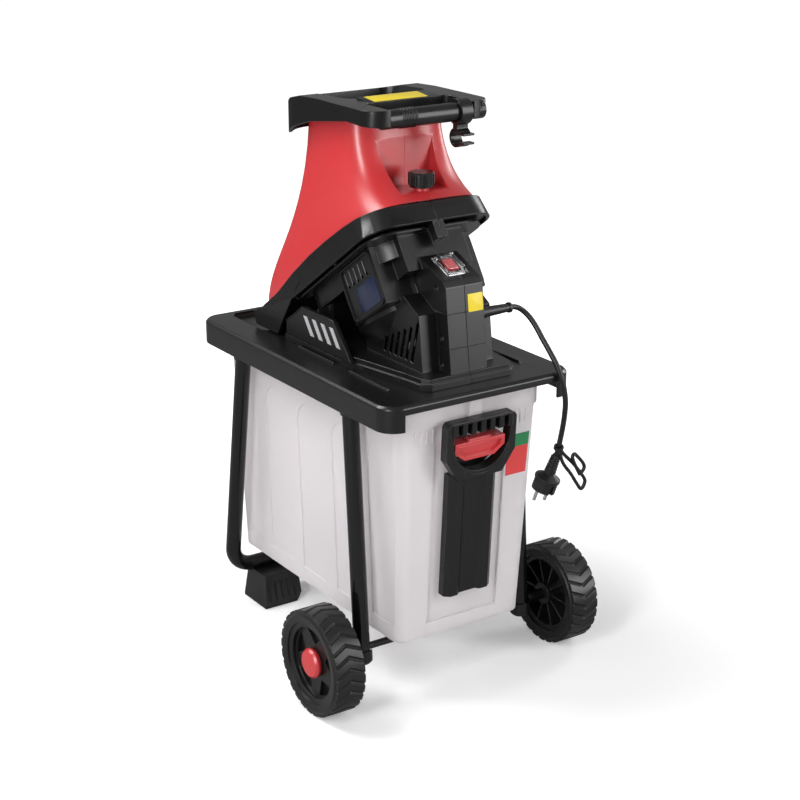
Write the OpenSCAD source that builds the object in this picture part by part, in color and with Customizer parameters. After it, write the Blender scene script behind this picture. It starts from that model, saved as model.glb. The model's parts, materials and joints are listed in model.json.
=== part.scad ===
// Electric garden shredder with a tilting feed hopper, a knife disc under it,
// a wheeled tube stand and a slide-out collection box.
// Millimetres. X runs along the wheel axle, -Y is the front, Z is up, the floor is Z = 0.

/* [Deck] */
// Width of the deck from side to side
deck_w = 306; // [300:1:316]
// Length of the deck from front to rear
deck_l = 510; // [504:1:520]
// Height of the deck's top face above the floor
deck_h = 451; // [440:1:470]
// Thickness of the deck's plate
deck_t = 4; // [3:0.5:5]
// Corner radius of the deck
deck_corner = 28; // [22:1:32]
// Depth of the side skirts
skirt_h = 36; // [32:1:40]
// Depth of the front skirt, which the box slides out under
front_skirt_h = 13; // [11:0.5:14]
// Wall of the skirts
skirt_t = 4; // [3:0.5:5]

/* [Stand] */
// Diameter of the leg tubes
leg_d = 23; // [20:0.5:23.5]
// Wall of the leg tubes
leg_wall = 1.5; // [1:0.1:2]
// Distance from the deck's side to the middle of a leg
leg_inset = 16; // [15:0.5:17]
// Place of the front legs' upper ends
front_leg_y = -140; // [-150:1:-130]
// Lean of the front legs, with their feet to the front
front_leg_lean = 4; // [2:0.5:5]
// Place of the rear legs' upper ends
rear_leg_y = 145; // [142:1:155]
// Lean of the rear legs, with their feet to the rear
rear_leg_lean = 8.9; // [8:0.1:10]
// Height of the middle of the rear bar
rear_bar_h = 56; // [50:1:60]
// Radius of the rear frame's bends
rear_bend_r = 36; // [30:1:45]
// Height of the front legs' lower ends
leg_end_h = 61; // [56:1:64]

/* [Wheels] */
// Diameter of a wheel over its tread
wheel_d = 150; // [144:1:156]
// Width of a wheel
wheel_w = 48; // [44:1:50]
// Diameter of the axle
axle_d = 10; // [8:0.5:12]
// Distance from a front leg to the inner face of its wheel
wheel_gap = 27.5; // [26:0.5:30]
// Number of tread lugs round a wheel
lug_count = 28; // [20:1:32]
// Depth of the tread lugs
lug_h = 2.5; // [2:0.5:4]
// Number of spokes
spoke_count = 5; // [5:1:6]
// Diameter of the red hub caps
cap_d = 42; // [40:1:46]

/* [Collection box] */
// Wall of the box
box_wall = 2.5; // [2:0.1:3]
// Clearance between the box's bottom and the axle
box_axle_gap = 8; // [6:1:12]
// Clearance between the box's flange and the legs
box_leg_gap = 3.5; // [3:0.5:5]
// Lean of the box's front wall
box_lean = 3.5; // [2:0.5:4]
// Height of the box's rim band
box_rim_h = 30; // [26:1:34]
// Depth of the recess in the middle of the box's front
box_recess = 4; // [2:0.5:5]

/* [Pusher] */
// Width of the pusher's handle
pusher_w = 112; // [110:1:120]
// Width of the pusher's blade
blade_w = 78; // [74:1:84]
// Length of the pusher's blade
blade_l = 182; // [160:1:190]

/* [Hopper] */
// Slope of the parting plane between the hopper and the motor body
slope_a = 34; // [33:0.5:35]
// Height of the parting plane above the deck, over the middle of the deck
slope_rise = 107; // [104:0.5:110]
// Width of the hopper's black rim
rim_w = 208; // [204:1:212]
// Thickness of the rim, across the parting plane
rim_t = 24; // [22:1:26]
// Wall of the hopper's shells
shell_wall = 3; // [2.5:0.1:3.5]
// Width of the neck
neck_w = 154; // [150:1:158]
// Height of the collar's top face above the deck
hopper_h = 355; // [350:1:362]
// Width of the collar
collar_w = 194; // [188:1:200]
// Diameter of the handle bar
bar_d = 25; // [22:0.5:26]
// Diameter of the lock knob
knob_d = 36; // [32:1:38]
// Number of flutes on the lock knob
knob_flutes = 12; // [8:1:16]

/* [Motor and cutter] */
// Distance from the slope's middle up to the motor's axis
motor_up = 50; // [49:0.5:52]
// Radius of the motor barrel
barrel_r = 78; // [76:0.5:80]
// Wall of the motor housing
housing_wall = 3; // [2.5:0.1:3.5]
// Diameter of the knife disc
disc_d = 144; // [136:1:146]
// Diameter of the motor shaft
shaft_d = 15; // [12:0.5:16]
// Radius of the stator
stator_r = 56; // [50:1:58]
// Width of the switch box
switch_w = 60; // [56:1:64]

/* [Cord] */
// Diameter of the power cord
cord_d = 7.6; // [6:0.1:9]

/* [Hidden] */
$fn = 64;

// Clearances
fit = 0.05;
run_gap = 0.3;
eps = 0.01;
far = 600;

// Colours
black = [0.07, 0.07, 0.075];
red = [0.80, 0.11, 0.12];
milk = [0.88, 0.88, 0.90, 0.7];
steel = [0.66, 0.67, 0.69];
grey = [0.62, 0.63, 0.64];
copper = [0.72, 0.43, 0.20];
clear = [0.85, 0.88, 0.90, 0.4];

// Legs and axle
leg_x = deck_w / 2 - leg_inset;
leg_top_z = deck_h - deck_t - 3;
axle_z = wheel_d / 2;
axle_y = front_leg_y - (leg_top_z - axle_z) * tan(front_leg_lean);
leg_end_y = front_leg_y - (leg_top_z - leg_end_h) * tan(front_leg_lean);
front_leg_l = (leg_top_z - leg_end_h) / cos(front_leg_lean);
rear_drop = (leg_top_z - rear_bar_h) / cos(rear_leg_lean);
rear_bar_y = rear_leg_y + (leg_top_z - rear_bar_h) * tan(rear_leg_lean);
socket_wall = 2.5;
socket_l = 34;
leg_screw_r = 2;
leg_screw_drop = 27;
leg_screw_reach = leg_d / 2 + socket_wall;

// Wheels
track_w = 2 * (leg_x + leg_d / 2 + wheel_gap + wheel_w);
wheel_x = track_w / 2 - wheel_w / 2;
tyre_r = wheel_d / 2;
hub_r = 16;
hub_cut = 8;
cap_t = 3;
spacer_r = 8;
nut_t = 2;
axle_l = track_w - 2 * (hub_cut - nut_t - 2);

// Collection box
box_top_z = deck_h - front_skirt_h - 4;
box_flange_t = 4;
box_flange_hw = leg_x - leg_d / 2 - box_leg_gap;
box_rim_hw = box_flange_hw - 4;
box_hw = box_rim_hw - 3;
box_draft = 10;
box_bottom_z = axle_z + axle_d / 2 + box_axle_gap;
box_rim_z = box_top_z - box_rim_h;
box_front_y = -deck_l / 2 + 27;
box_rear_y = deck_l / 2 - 17;
box_rear_draft = 14;
box_foot_y = box_front_y + (box_rim_z - box_bottom_z) * tan(box_lean);
rail_lip = 4;
panel_w = pusher_w + 6;
panel_depth = 1.5;

// Box lock and pusher, in the frame of the box's leaning front
slider_w = 82;
slider_h = 26;
slider_top = -24;
slider_depth = 22;
handle_back = -10;
handle_depth = 16;
handle_top = 8;
grip_bottom = -12;
loop_r = slider_w / 2 + 5;
loop_mid = -20;
handle_low = -76;
tongue_w = 20;
tongue_top = box_top_z - box_rim_z - 0.5;

// Parting plane between the hopper and the motor body
slope_z = deck_h + slope_rise;
function slope_y(y, z) = y * cos(slope_a) + z * sin(slope_a);
function slope_h(y, z) = slope_z - y * sin(slope_a) + z * cos(slope_a);
function plane_z(y, lift) = slope_z - y * tan(slope_a) + lift / cos(slope_a);

// Hopper hinge
pivot_y = 158;
pivot_z = deck_h + 17;
pin_r = 4;
heel_r = 24;
lug_x = 62;
lug_t = 12;
pocket_depth = 8;
pivot_slope_y = pivot_y * cos(slope_a) - (pivot_z - slope_z) * sin(slope_a);
pivot_slope_z = pivot_y * sin(slope_a) + (pivot_z - slope_z) * cos(slope_a);

// Rim, tray and ceiling, in the slope's frame
rim_front = -177;
rim_wall = 4;
rim_taper = 5;
rim_high = 44;
crest_line = [
    [-300, 26], [-150, 30], [-100, 34], [-50, rim_t + 12], [0, rim_t + 12], [60, 32], [110, 25],
    [125, rim_t], [300, rim_t]
];
function crest(y) = lookup(y, crest_line);
rim_corner = 42;
tray_w = 160;
tray_front = -146;
tray_rear = 96;
tray_depth = 30;
tray_wall = 4;
tray_corner = 56;
flange_w = 192;
flange_front = -160;
flange_corner = 40;
flange_t = 4;
panel_hw = tray_w / 2 + 1;
side_panel_front = -119;
side_panel_rear = -28;
side_panel_low = -84;
panel_high = -2;
block_hw = 52;
block_front = -149;
block_low = -55;
duct_hw = 78;
wing_hw = 104;
ceiling_z = 4;
ceiling_t = 4;
screw_in = 16;
boss_r = 6;

// Neck, collar and handle
collar_top = deck_h + hopper_h;
neck_front = -62;
neck_rear = 77;
collar_t = 4;
collar_front = -134;
collar_rear = 106;
collar_corner = 26;
hood_corner = 44;
bar_y = -121;
bar_z = collar_top - 14;
gap_front = bar_y + bar_d / 2;
gap_rear = neck_front - 8;
gap_w = 132;
clip_x = 44;
clip_w = 18;
inlet_w = 136;
inlet_front = -34;
inlet_rear = 66;
funnel_h = 34;

// Lock knob
knob_y = -107;
knob_seat = plane_z(knob_y, crest(knob_y / cos(slope_a)));
knob_floor = knob_seat + 0.157 * (collar_top - knob_seat);
knob_h = 20;
knob_boss_h = 4.5;
stud_r = 4;
stud_low = plane_z(knob_y, 0) - 6;
pocket_hw = 38;
pocket_rear = neck_front - 5;

// Motor stack along its axis, as distances below the parting plane
motor_y = -motor_up;
floor_top = -(tray_depth - tray_wall);
floor_low = -tray_depth;
shield_t = 6;
bearing_r = 17.5;
bearing_w = 11;
upper_bearing_z = floor_low - shield_t - 9;
fan_z = -60;
fan_h = 10;
stator_top = -66;
stator_low = -106;
coil_h = 4;
bore_r = 33;
air_gap = 0.6;
comm_z = -124;
comm_h = 10;
comm_r = 18;
low_bearing_r = 13;
low_bearing_w = 8;
cone_top = -90;
barrel_low = -138;
end_r = 36;
low_shaft_r = 5;
disc_z = -15;
disc_t = 6;
knife_t = 5;
blade_edge = -7;
blade_low = disc_z + disc_t + knife_t + 0.6;

// Switch box, as a side outline
switch_top_y = -148;
switch_top_z = deck_h + 160;
switch_front_y = -207;
switch_front_z = deck_h + 138;
switch_toe_y = -221;
switch_edge_y = switch_front_y + 6;
switch_slope = atan2(switch_top_z - switch_front_z, switch_top_y - switch_edge_y);
base_h = 16;
lip = 3;
lip_h = 9;
rocker_y = (switch_top_y + switch_edge_y) / 2;
rocker_z = (switch_top_z + switch_front_z) / 2;

// Cord route from the strain relief's tip to the plug, points chosen by hand
gland_y = -198;
gland_z = deck_h + 85;
gland_tip = switch_w / 2 + 53;
cord_steps = [
    [0, 0, 0], [7, 0, -0.5], [14, -2, -3], [20, -6, -8], [25, -13, -16], [29, -21, -27], [32, -31, -41],
    [35, -43, -56], [38, -55, -72], [41, -63, -89], [44, -67, -107], [47, -67, -125], [50, -62, -143],
    [54, -55, -160], [59, -46, -177], [63, -38, -192], [65, -33, -205], [65, -29, -217]
];
cord_route = [for (p = cord_steps) p + [gland_tip, gland_y, gland_z]];
plug_start = cord_route[len(cord_route) - 1];
tie_at = cord_route[len(cord_route) - 2];
plug_lean = 12;
plug_pitch = -14;
relief_l = 30;

// Frame of the parting plane: Y down the slope to the rear, Z square to it
module on_slope() {
    translate([0, 0, slope_z]) rotate([-slope_a, 0, 0]) children();
}

// Frame of the motor's axis
module on_motor() {
    on_slope() translate([0, motor_y, 0]) children();
}

// Frame of the box's leaning front, with its outer face at Y = 0 and the rim's lower edge at Z = 0
module on_box_front() {
    translate([0, box_front_y, box_rim_z]) rotate([box_lean, 0, 0]) children();
}

// Frame of the switch box's sloping top
module on_switch() {
    translate([0, rocker_y, rocker_z]) rotate([switch_slope, 0, 0]) children();
}

module rounded_rect(w, l, r) {
    square([w - 2 * r, l], center = true);
    square([w, l - 2 * r], center = true);
    for (x = [-1, 1], y = [-1, 1]) translate([x * (w / 2 - r), y * (l / 2 - r)]) circle(r);
}

// Rounded slab between two places along Y
module slab(w, front, rear, r, h) {
    translate([0, (front + rear) / 2, 0]) linear_extrude(h) rounded_rect(w, rear - front, r);
}

// Cylinder along X between two places
module bar_x(x0, x1, r) {
    translate([x0, 0, 0]) rotate([0, 90, 0]) cylinder(r = r, h = x1 - x0);
}

// Side outline extruded evenly about X = 0
module side_solid(points, w) {
    translate([-w / 2, 0, 0]) rotate([90, 0, 90]) linear_extrude(w) polygon(points);
}

// Half space on one side of X = 0
module half(side) {
    translate([side > 0 ? 0 : -far, -far, -far]) cube([far, 2 * far, 4 * far]);
}

module screw(shank_r, head_r, head_h, l) {
    cylinder(r = head_r, h = head_h);
    translate([0, 0, -l]) cylinder(r = shank_r, h = l + eps);
}

// Deck

module deck_shell() {
    chamfer = 4;
    difference() {
        hull() {
            translate([0, 0, deck_h - skirt_h])
                linear_extrude(skirt_h - chamfer) rounded_rect(deck_w, deck_l, deck_corner, $fn = 32);
            translate([0, 0, deck_h - 1]) linear_extrude(1)
                rounded_rect(deck_w - 2 * chamfer, deck_l - 2 * chamfer, deck_corner - chamfer, $fn = 32);
        }
        translate([0, 0, deck_h - skirt_h - 1])
            linear_extrude(skirt_h - deck_t + 1)
                rounded_rect(deck_w - 2 * skirt_t, deck_l - 2 * skirt_t, deck_corner - skirt_t);
        front_gate();
    }
}

// Room under the front skirt for the box
module front_gate() {
    gate_w = 2 * (box_flange_hw + 2);
    translate([-gate_w / 2, -deck_l / 2 - 1, deck_h - skirt_h - 1])
        cube([gate_w, deck_corner + 1, skirt_h - front_skirt_h + 1]);
}

module leg_axis(side, front) {
    translate([side * leg_x, front ? front_leg_y : rear_leg_y, leg_top_z])
        rotate([front ? -front_leg_lean : rear_leg_lean, 0, 0]) children();
}

// Bore for a leg's screw, from its socket's inner side to past the middle of the tube
module leg_screw_bore(side, front) {
    leg_axis(side, front) translate([0, 0, -leg_screw_drop]) rotate([0, -side * 90, 0])
        translate([0, 0, -7]) cylinder(r = leg_screw_r + fit, h = leg_screw_reach + 8);
}

module each_leg() {
    for (side = [-1, 1], front = [true, false]) leg_axis(side, front) children();
}

module box_rail(side) {
    lip_top = box_top_z - box_flange_t - run_gap;
    rail_l = deck_l - 2 * deck_corner - 10;
    web_x = box_flange_hw + 0.6;
    web_t = leg_x - leg_d / 2 - 0.5 - web_x;
    mirror([side < 0 ? 1 : 0, 0, 0]) translate([0, -rail_l / 2, 0]) {
        translate([web_x, 0, lip_top - rail_lip]) cube([web_t, rail_l, deck_h - deck_t - lip_top + rail_lip]);
        translate([box_rim_hw + 1, 0, lip_top - rail_lip])
            cube([web_x - box_rim_hw - 1 + eps, rail_l, rail_lip]);
    }
}

module hinge_lug(side) {
    x0 = side > 0 ? lug_x : -lug_x - lug_t;
    translate([x0, 0, 0]) {
        translate([0, pivot_y, pivot_z]) bar_x(0, lug_t, 12);
        translate([0, pivot_y - 12, deck_h - pocket_depth - 1])
            cube([lug_t, 24, pivot_z - deck_h + pocket_depth + 1]);
    }
}

module deck() {
    pocket_front = 136;
    pocket_rear_y = deck_l / 2 - 15;
    pocket_w = 216;
    color(black) difference() {
        union() {
            difference() {
                union() {
                    deck_shell();
                    translate([0, 0, deck_h - pocket_depth - 3])
                        slab(pocket_w + 6, pocket_front - 3, pocket_rear_y + 3, 12, pocket_depth);
                }
                translate([0, 0, deck_h - pocket_depth])
                    slab(pocket_w, pocket_front, pocket_rear_y, 10, pocket_depth + 1);
            }
            for (side = [-1, 1]) {
                box_rail(side);
                hinge_lug(side);
                // Raised ribs beside the motor body
                for (span = [[-190, -95], [-55, 40]])
                    translate([side * 108 - 2, span[0], deck_h - eps]) cube([4, span[1] - span[0], 3]);
            }
            intersection() {
                each_leg() translate([0, 0, -socket_l])
                    cylinder(r = leg_d / 2 + socket_wall, h = socket_l + deck_t + 2);
                translate([-far, -far, 0]) cube([2 * far, 2 * far, deck_h - deck_t + eps]);
            }
            // Catch for the box lock's tongue
            translate([-tongue_w / 2 - 4, box_front_y - 15, box_top_z + 2])
                cube([tongue_w + 8, 3, deck_h - deck_t - box_top_z - 2 + eps]);
        }
        intersection() {
            each_leg() translate([0, 0, -far]) cylinder(r = leg_d / 2 + fit, h = far + 2 * deck_t);
            translate([-far, -far, 0]) cube([2 * far, 2 * far, deck_h - deck_t]);
        }
        for (side = [-1, 1], front = [true, false]) leg_screw_bore(side, front);
        for (side = [-1, 1]) translate([0, pivot_y, pivot_z])
            bar_x(side > 0 ? lug_x - 1 : -lug_x - lug_t - 1, side > 0 ? lug_x + lug_t + 1 : 1 - lug_x,
                pin_r + fit);
        // Outlet into the box
        translate([0, 0, deck_h - 2 * deck_t]) slab(2 * 74, 14, 76, 6, 3 * deck_t);
    }
}

// Stand

module tube(d, wall, l) {
    difference() {
        cylinder(d = d, h = l);
        translate([0, 0, -1]) cylinder(d = d - 2 * wall, h = l + 2);
    }
}

module axle_bore(gap) {
    translate([0, axle_y, axle_z]) bar_x(-track_w / 2, track_w / 2, axle_d / 2 + gap);
}

module front_leg(side) {
    color(black) difference() {
        leg_axis(side, true) translate([0, 0, -front_leg_l]) tube(leg_d, leg_wall, front_leg_l);
        axle_bore(fit);
        leg_screw_bore(side, true);
    }
}

module front_leg_left() { front_leg(-1); }
module front_leg_right() { front_leg(1); }

module rear_frame_solid(d) {
    straight = rear_drop - rear_bend_r;
    for (side = [-1, 1]) {
        translate([side * leg_x, 0, -straight]) cylinder(d = d, h = straight);
        translate([side * (leg_x - rear_bend_r), 0, -straight]) rotate([90, 0, 0])
            rotate([0, 0, side > 0 ? 270 : 180]) rotate_extrude(angle = 90) translate([rear_bend_r, 0])
                circle(d = d);
    }
    translate([0, 0, -rear_drop]) bar_x(-leg_x + rear_bend_r, leg_x - rear_bend_r, d / 2);
}

module foot_screw_places() {
    for (x = [-80, 80]) translate([x, rear_bar_y, 0]) children();
}

module rear_leg_frame() {
    color(black) difference() {
        translate([0, rear_leg_y, leg_top_z]) rotate([rear_leg_lean, 0, 0]) difference() {
            rear_frame_solid(leg_d);
            rear_frame_solid(leg_d - 2 * leg_wall);
            for (side = [-1, 1]) translate([side * leg_x, 0, -1]) cylinder(d = leg_d - 2 * leg_wall, h = 2);
        }
        for (side = [-1, 1]) leg_screw_bore(side, false);
        foot_screw_places() cylinder(r = 2.5 + fit, h = rear_bar_h);
    }
}

// Screws that pin the legs in their sockets, put in from the inner side
module leg_screws() {
    color(steel) for (side = [-1, 1], front = [true, false]) leg_axis(side, front)
        translate([-side * leg_screw_reach, 0, -leg_screw_drop]) rotate([0, -side * 90, 0])
            screw(leg_screw_r, 4, 2, leg_screw_reach + 5);
}

module leg_caps() {
    cap_r = leg_d / 2 + 3;
    cap_l = 20;
    color(black) for (side = [-1, 1]) difference() {
        leg_axis(side, true) translate([0, 0, -front_leg_l]) {
            translate([0, 0, -4]) cylinder(r = cap_r, h = cap_l - 4);
            translate([0, 0, -8]) cylinder(r1 = cap_r - 4, r2 = cap_r, h = 4 + eps);
        }
        leg_axis(side, true) translate([0, 0, -front_leg_l]) cylinder(r = leg_d / 2 + fit, h = 2 * cap_l);
        axle_bore(spacer_r - axle_d / 2 + run_gap);
    }
}

module stand_foot() {
    pad_hw = 104;
    flare = 8;
    toe = 14;
    top_z = rear_bar_h - leg_d / 2 + 4;
    front_y = rear_bar_y - 44;
    rear_y = rear_bar_y + leg_d / 2 - 2;
    color(black) difference() {
        hull() {
            translate([-pad_hw - flare, front_y - toe, 0])
                cube([2 * (pad_hw + flare), rear_y - front_y + toe, 5]);
            translate([-pad_hw, front_y, top_z - 1]) cube([2 * pad_hw, rear_y - front_y, 1]);
        }
        translate([0, -1, 0]) rotate([90, 0, 0]) translate([0, 0, -far])
            linear_extrude(far) polygon([[-57, -1], [-40, 21], [40, 21], [57, -1]]);
        translate([-46, front_y - 30, -1]) cube([92, rear_y - front_y - 24 + 30, rear_bar_h + 4]);
        translate([0, rear_leg_y, leg_top_z]) rotate([rear_leg_lean, 0, 0])
            translate([0, 0, -rear_drop]) bar_x(-leg_x, leg_x, leg_d / 2 + fit);
        translate([0, rear_leg_y, leg_top_z]) rotate([rear_leg_lean, 0, 0]) for (side = [-1, 1])
            translate([side * (leg_x - rear_bend_r), 0, rear_bend_r - rear_drop]) rotate([90, 0, 0])
                rotate([0, 0, side > 0 ? 270 : 180]) rotate_extrude(angle = 90)
                    translate([rear_bend_r, 0]) circle(d = leg_d + 4 * fit);
        foot_screw_places() {
            translate([0, 0, -1]) cylinder(r = 6, h = 21);
            cylinder(r = 2.5 + fit, h = rear_bar_h);
        }
    }
}

module foot_screws() {
    color(steel) foot_screw_places() translate([0, 0, 20]) rotate([180, 0, 0])
        screw(2.5, 5, 3, rear_bar_h - leg_d / 2 + leg_wall + 1 - 20);
}

// Wheels

module axle() {
    color(steel) translate([0, axle_y, axle_z]) bar_x(-axle_l / 2, axle_l / 2, axle_d / 2);
}

module axle_spacers() {
    inner = leg_x + leg_d / 2 + run_gap;
    outer = wheel_x - wheel_w / 2 + 2 - run_gap;
    color(black) for (side = [-1, 1]) translate([0, axle_y, axle_z]) difference() {
        bar_x(side > 0 ? inner : -outer, side > 0 ? outer : -inner, spacer_r);
        bar_x(-track_w / 2, track_w / 2, axle_d / 2 + fit);
    }
}

module axle_push_nuts() {
    seat = track_w / 2 - hub_cut + run_gap;
    color(steel) for (side = [-1, 1]) translate([0, axle_y, axle_z]) difference() {
        bar_x(side > 0 ? seat : -seat - nut_t, side > 0 ? seat + nut_t : -seat, hub_r - 6);
        bar_x(-track_w / 2, track_w / 2, axle_d / 2 + fit);
    }
}

// One turn of the tread as a toothed outline
module tread_outline() {
    root_r = tyre_r - lug_h;
    step = 360 / lug_count;
    points = [for (i = [0:lug_count - 1], k = [[0, root_r], [0.16, tyre_r], [0.5, tyre_r],
        [0.78, tyre_r], [0.94, root_r]])
        k[1] * [cos((i + k[0]) * step), sin((i + k[0]) * step)]];
    polygon(points);
}

// Pocket between two spokes
module spoke_hole(inner_r, outer_r) {
    half_step = 180 / spoke_count;
    points = concat(
        [[inner_r + 4, 0]],
        [for (a = [-1:0.25:1]) outer_r * [cos(a * (half_step - 12)), sin(a * (half_step - 12))]]
    );
    polygon(points);
}

module wheel_solid() {
    web_z = 2;
    web_t = 10;
    skin = 2.5;
    ring_in = 50;
    ring_out = tyre_r - lug_h - 1;
    half_w = wheel_w / 2;
    difference() {
        union() {
            for (side = [0, 1]) mirror([0, 0, side])
                linear_extrude(half_w - 2, twist = 8, slices = 2) tread_outline();
            rotate_extrude() polygon([
                [ring_in + 5, -half_w + 2], [ring_out - 4, -half_w], [ring_out, -half_w + 3],
                [ring_out, half_w - 3], [ring_out - 4, half_w], [ring_in + 5, half_w - 2]
            ]);
        }
        translate([0, 0, -wheel_w]) cylinder(r = ring_in + 7, h = 2 * wheel_w);
    }
    difference() {
        union() {
            rotate_extrude() polygon([
                [ring_in, -half_w + 6], [ring_in + 8, -half_w + 6], [ring_in + 8, half_w - 4],
                [ring_in, half_w - 6]
            ]);
            translate([0, 0, web_z]) cylinder(r = ring_in + 2, h = web_t);
            translate([0, 0, 2 - half_w]) cylinder(r = hub_r, h = wheel_w - 2 - hub_cut);
            // Stiffening ribs on the inner face
            for (i = [0:2 * spoke_count - 1]) rotate([0, 0, (i + 0.5) * 180 / spoke_count])
                translate([hub_r - 2, -1.5, 8 - half_w]) cube([ring_in - hub_r + 4, 3, half_w - 4]);
        }
        for (i = [0:spoke_count - 1]) rotate([0, 0, i * 360 / spoke_count])
            translate([0, 0, web_z + skin]) linear_extrude(wheel_w) spoke_hole(hub_r + 6, ring_in - 3);
        translate([0, 0, -wheel_w]) cylinder(r = axle_d / 2 + fit, h = 2 * wheel_w);
    }
}

module on_axle(side) {
    translate([side * wheel_x, axle_y, axle_z]) rotate([0, side * 90, 0]) children();
}

module wheel_left() { color(black) on_axle(-1) wheel_solid(); }
module wheel_right() { color(black) on_axle(1) wheel_solid(); }

module hub_cap_solid() {
    skirt_r = hub_r + fit;
    translate([0, 0, wheel_w / 2 - hub_cut]) rotate_extrude() polygon([
        [skirt_r, -3.2], [skirt_r + 3, -3.2], [cap_d / 2, 1], [cap_d / 2, 3], [cap_d / 2 - 3, hub_cut - 1],
        [0, hub_cut], [0, hub_cut - cap_t], [skirt_r, hub_cut - cap_t]
    ]);
}

module hub_cap_left() { color(red) on_axle(-1) hub_cap_solid(); }
module hub_cap_right() { color(red) on_axle(1) hub_cap_solid(); }

// Collection box

// Tapered body of the box, drawn in by a wall
module box_body(inset, low, high) {
    hull() {
        translate([0, 0, box_bottom_z + low])
            slab(2 * (box_hw - box_draft - inset), box_foot_y + inset,
                box_rear_y - box_rear_draft - inset, 18, 1, $fn = 32);
        translate([0, 0, box_rim_z + high])
            slab(2 * (box_hw - inset), box_front_y + inset, box_rear_y - inset, 20, 1, $fn = 32);
    }
}

// Recess in the front wall, and arched panels in the side walls
module box_recesses(grow) {
    on_box_front() translate([-panel_w / 2 - grow, -20, 20 - box_rim_z + box_bottom_z - grow])
        cube([panel_w + 2 * grow, 20 + box_recess + grow, box_rim_z - box_bottom_z - 20 + grow]);
    arch_w = 62;
    arch_pitch = 92;
    arch_top = -30;
    arch_low = 24 - box_rim_z + box_bottom_z;
    for (side = [-1, 1], i = [-2:2]) on_box_side(side) translate([-panel_depth - grow, 8 + i * arch_pitch, 0])
        rotate([90, 0, 90]) linear_extrude(20) {
            translate([-arch_w / 2 - grow, arch_low - grow])
                square([arch_w + 2 * grow, arch_top - arch_w / 2 - arch_low + grow]);
            translate([0, arch_top - arch_w / 2]) circle(arch_w / 2 + grow);
        }
}

// Frame of one side wall of the box, with its outer face at X = 0 and the rim's lower edge at Z = 0
module on_box_side(side) {
    mirror([side < 0 ? 1 : 0, 0, 0]) translate([box_hw, 0, box_rim_z])
        rotate([0, atan2(box_draft, box_rim_z - box_bottom_z), 0]) children();
}

module collection_box() {
    rim_front = box_front_y - 3;
    rim_rear = box_rear_y + 3;
    color(milk) difference() {
        union() {
            difference() {
                box_body(0, 0, -1 + eps);
                box_recesses(0);
            }
            translate([0, 0, box_rim_z - eps])
                slab(2 * box_rim_hw, rim_front, rim_rear, 22, box_rim_h - box_flange_t + 1);
            translate([0, 0, box_top_z - box_flange_t])
                slab(2 * box_flange_hw, rim_front, rim_rear + 4, 22, box_flange_t);
        }
        difference() {
            box_body(box_wall, box_wall, 1);
            box_recesses(box_wall);
        }
        translate([0, 0, box_rim_z + box_wall])
            slab(2 * (box_rim_hw - box_wall), rim_front + box_wall, rim_rear - box_wall, 20, far);
        translate([0, 0, box_rim_z - 1])
            slab(2 * (box_hw - box_wall), box_front_y + box_recess + 2 * box_wall,
                box_rear_y - box_wall, 18, far);
    }
}

module box_lock_slider() {
    bottom_w = 48;
    low = slider_top - slider_h;
    back = box_recess - run_gap;
    color(red) on_box_front() {
        difference() {
            rotate([90, 0, 0]) translate([0, 0, -back]) linear_extrude(slider_depth + back)
                polygon([
                    [-slider_w / 2, slider_top], [slider_w / 2, slider_top], [slider_w / 2, low + 12],
                    [bottom_w / 2, low], [-bottom_w / 2, low], [-slider_w / 2, low + 12]
                ]);
            // Finger recess in the front face
            rotate([90, 0, 0]) translate([0, 0, slider_depth - 4]) linear_extrude(5)
                polygon([
                    [6 - slider_w / 2, slider_top - 5], [slider_w / 2 - 6, slider_top - 5],
                    [slider_w / 2 - 6, low + 13], [bottom_w / 2 - 3, low + 5],
                    [3 - bottom_w / 2, low + 5], [6 - slider_w / 2, low + 13]
                ]);
        }
        translate([-18, -slider_depth + 2, slider_top - eps]) cube([36, 12, 3]);
        translate([-tongue_w / 2, -8.5, slider_top - 4]) cube([tongue_w, 3.5, tongue_top - slider_top + 4]);
    }
}

module interlock_switch() {
    color(grey) translate([-14, box_front_y - 2, box_top_z + 3.5])
        cube([28, 11, deck_h - deck_t - box_top_z - 3.5]);
}

function arc(x, y, r, from, to, steps) =
    [for (i = [0:steps]) [x + r * cos(from + (to - from) * i / steps),
    y + r * sin(from + (to - from) * i / steps)]];

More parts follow.
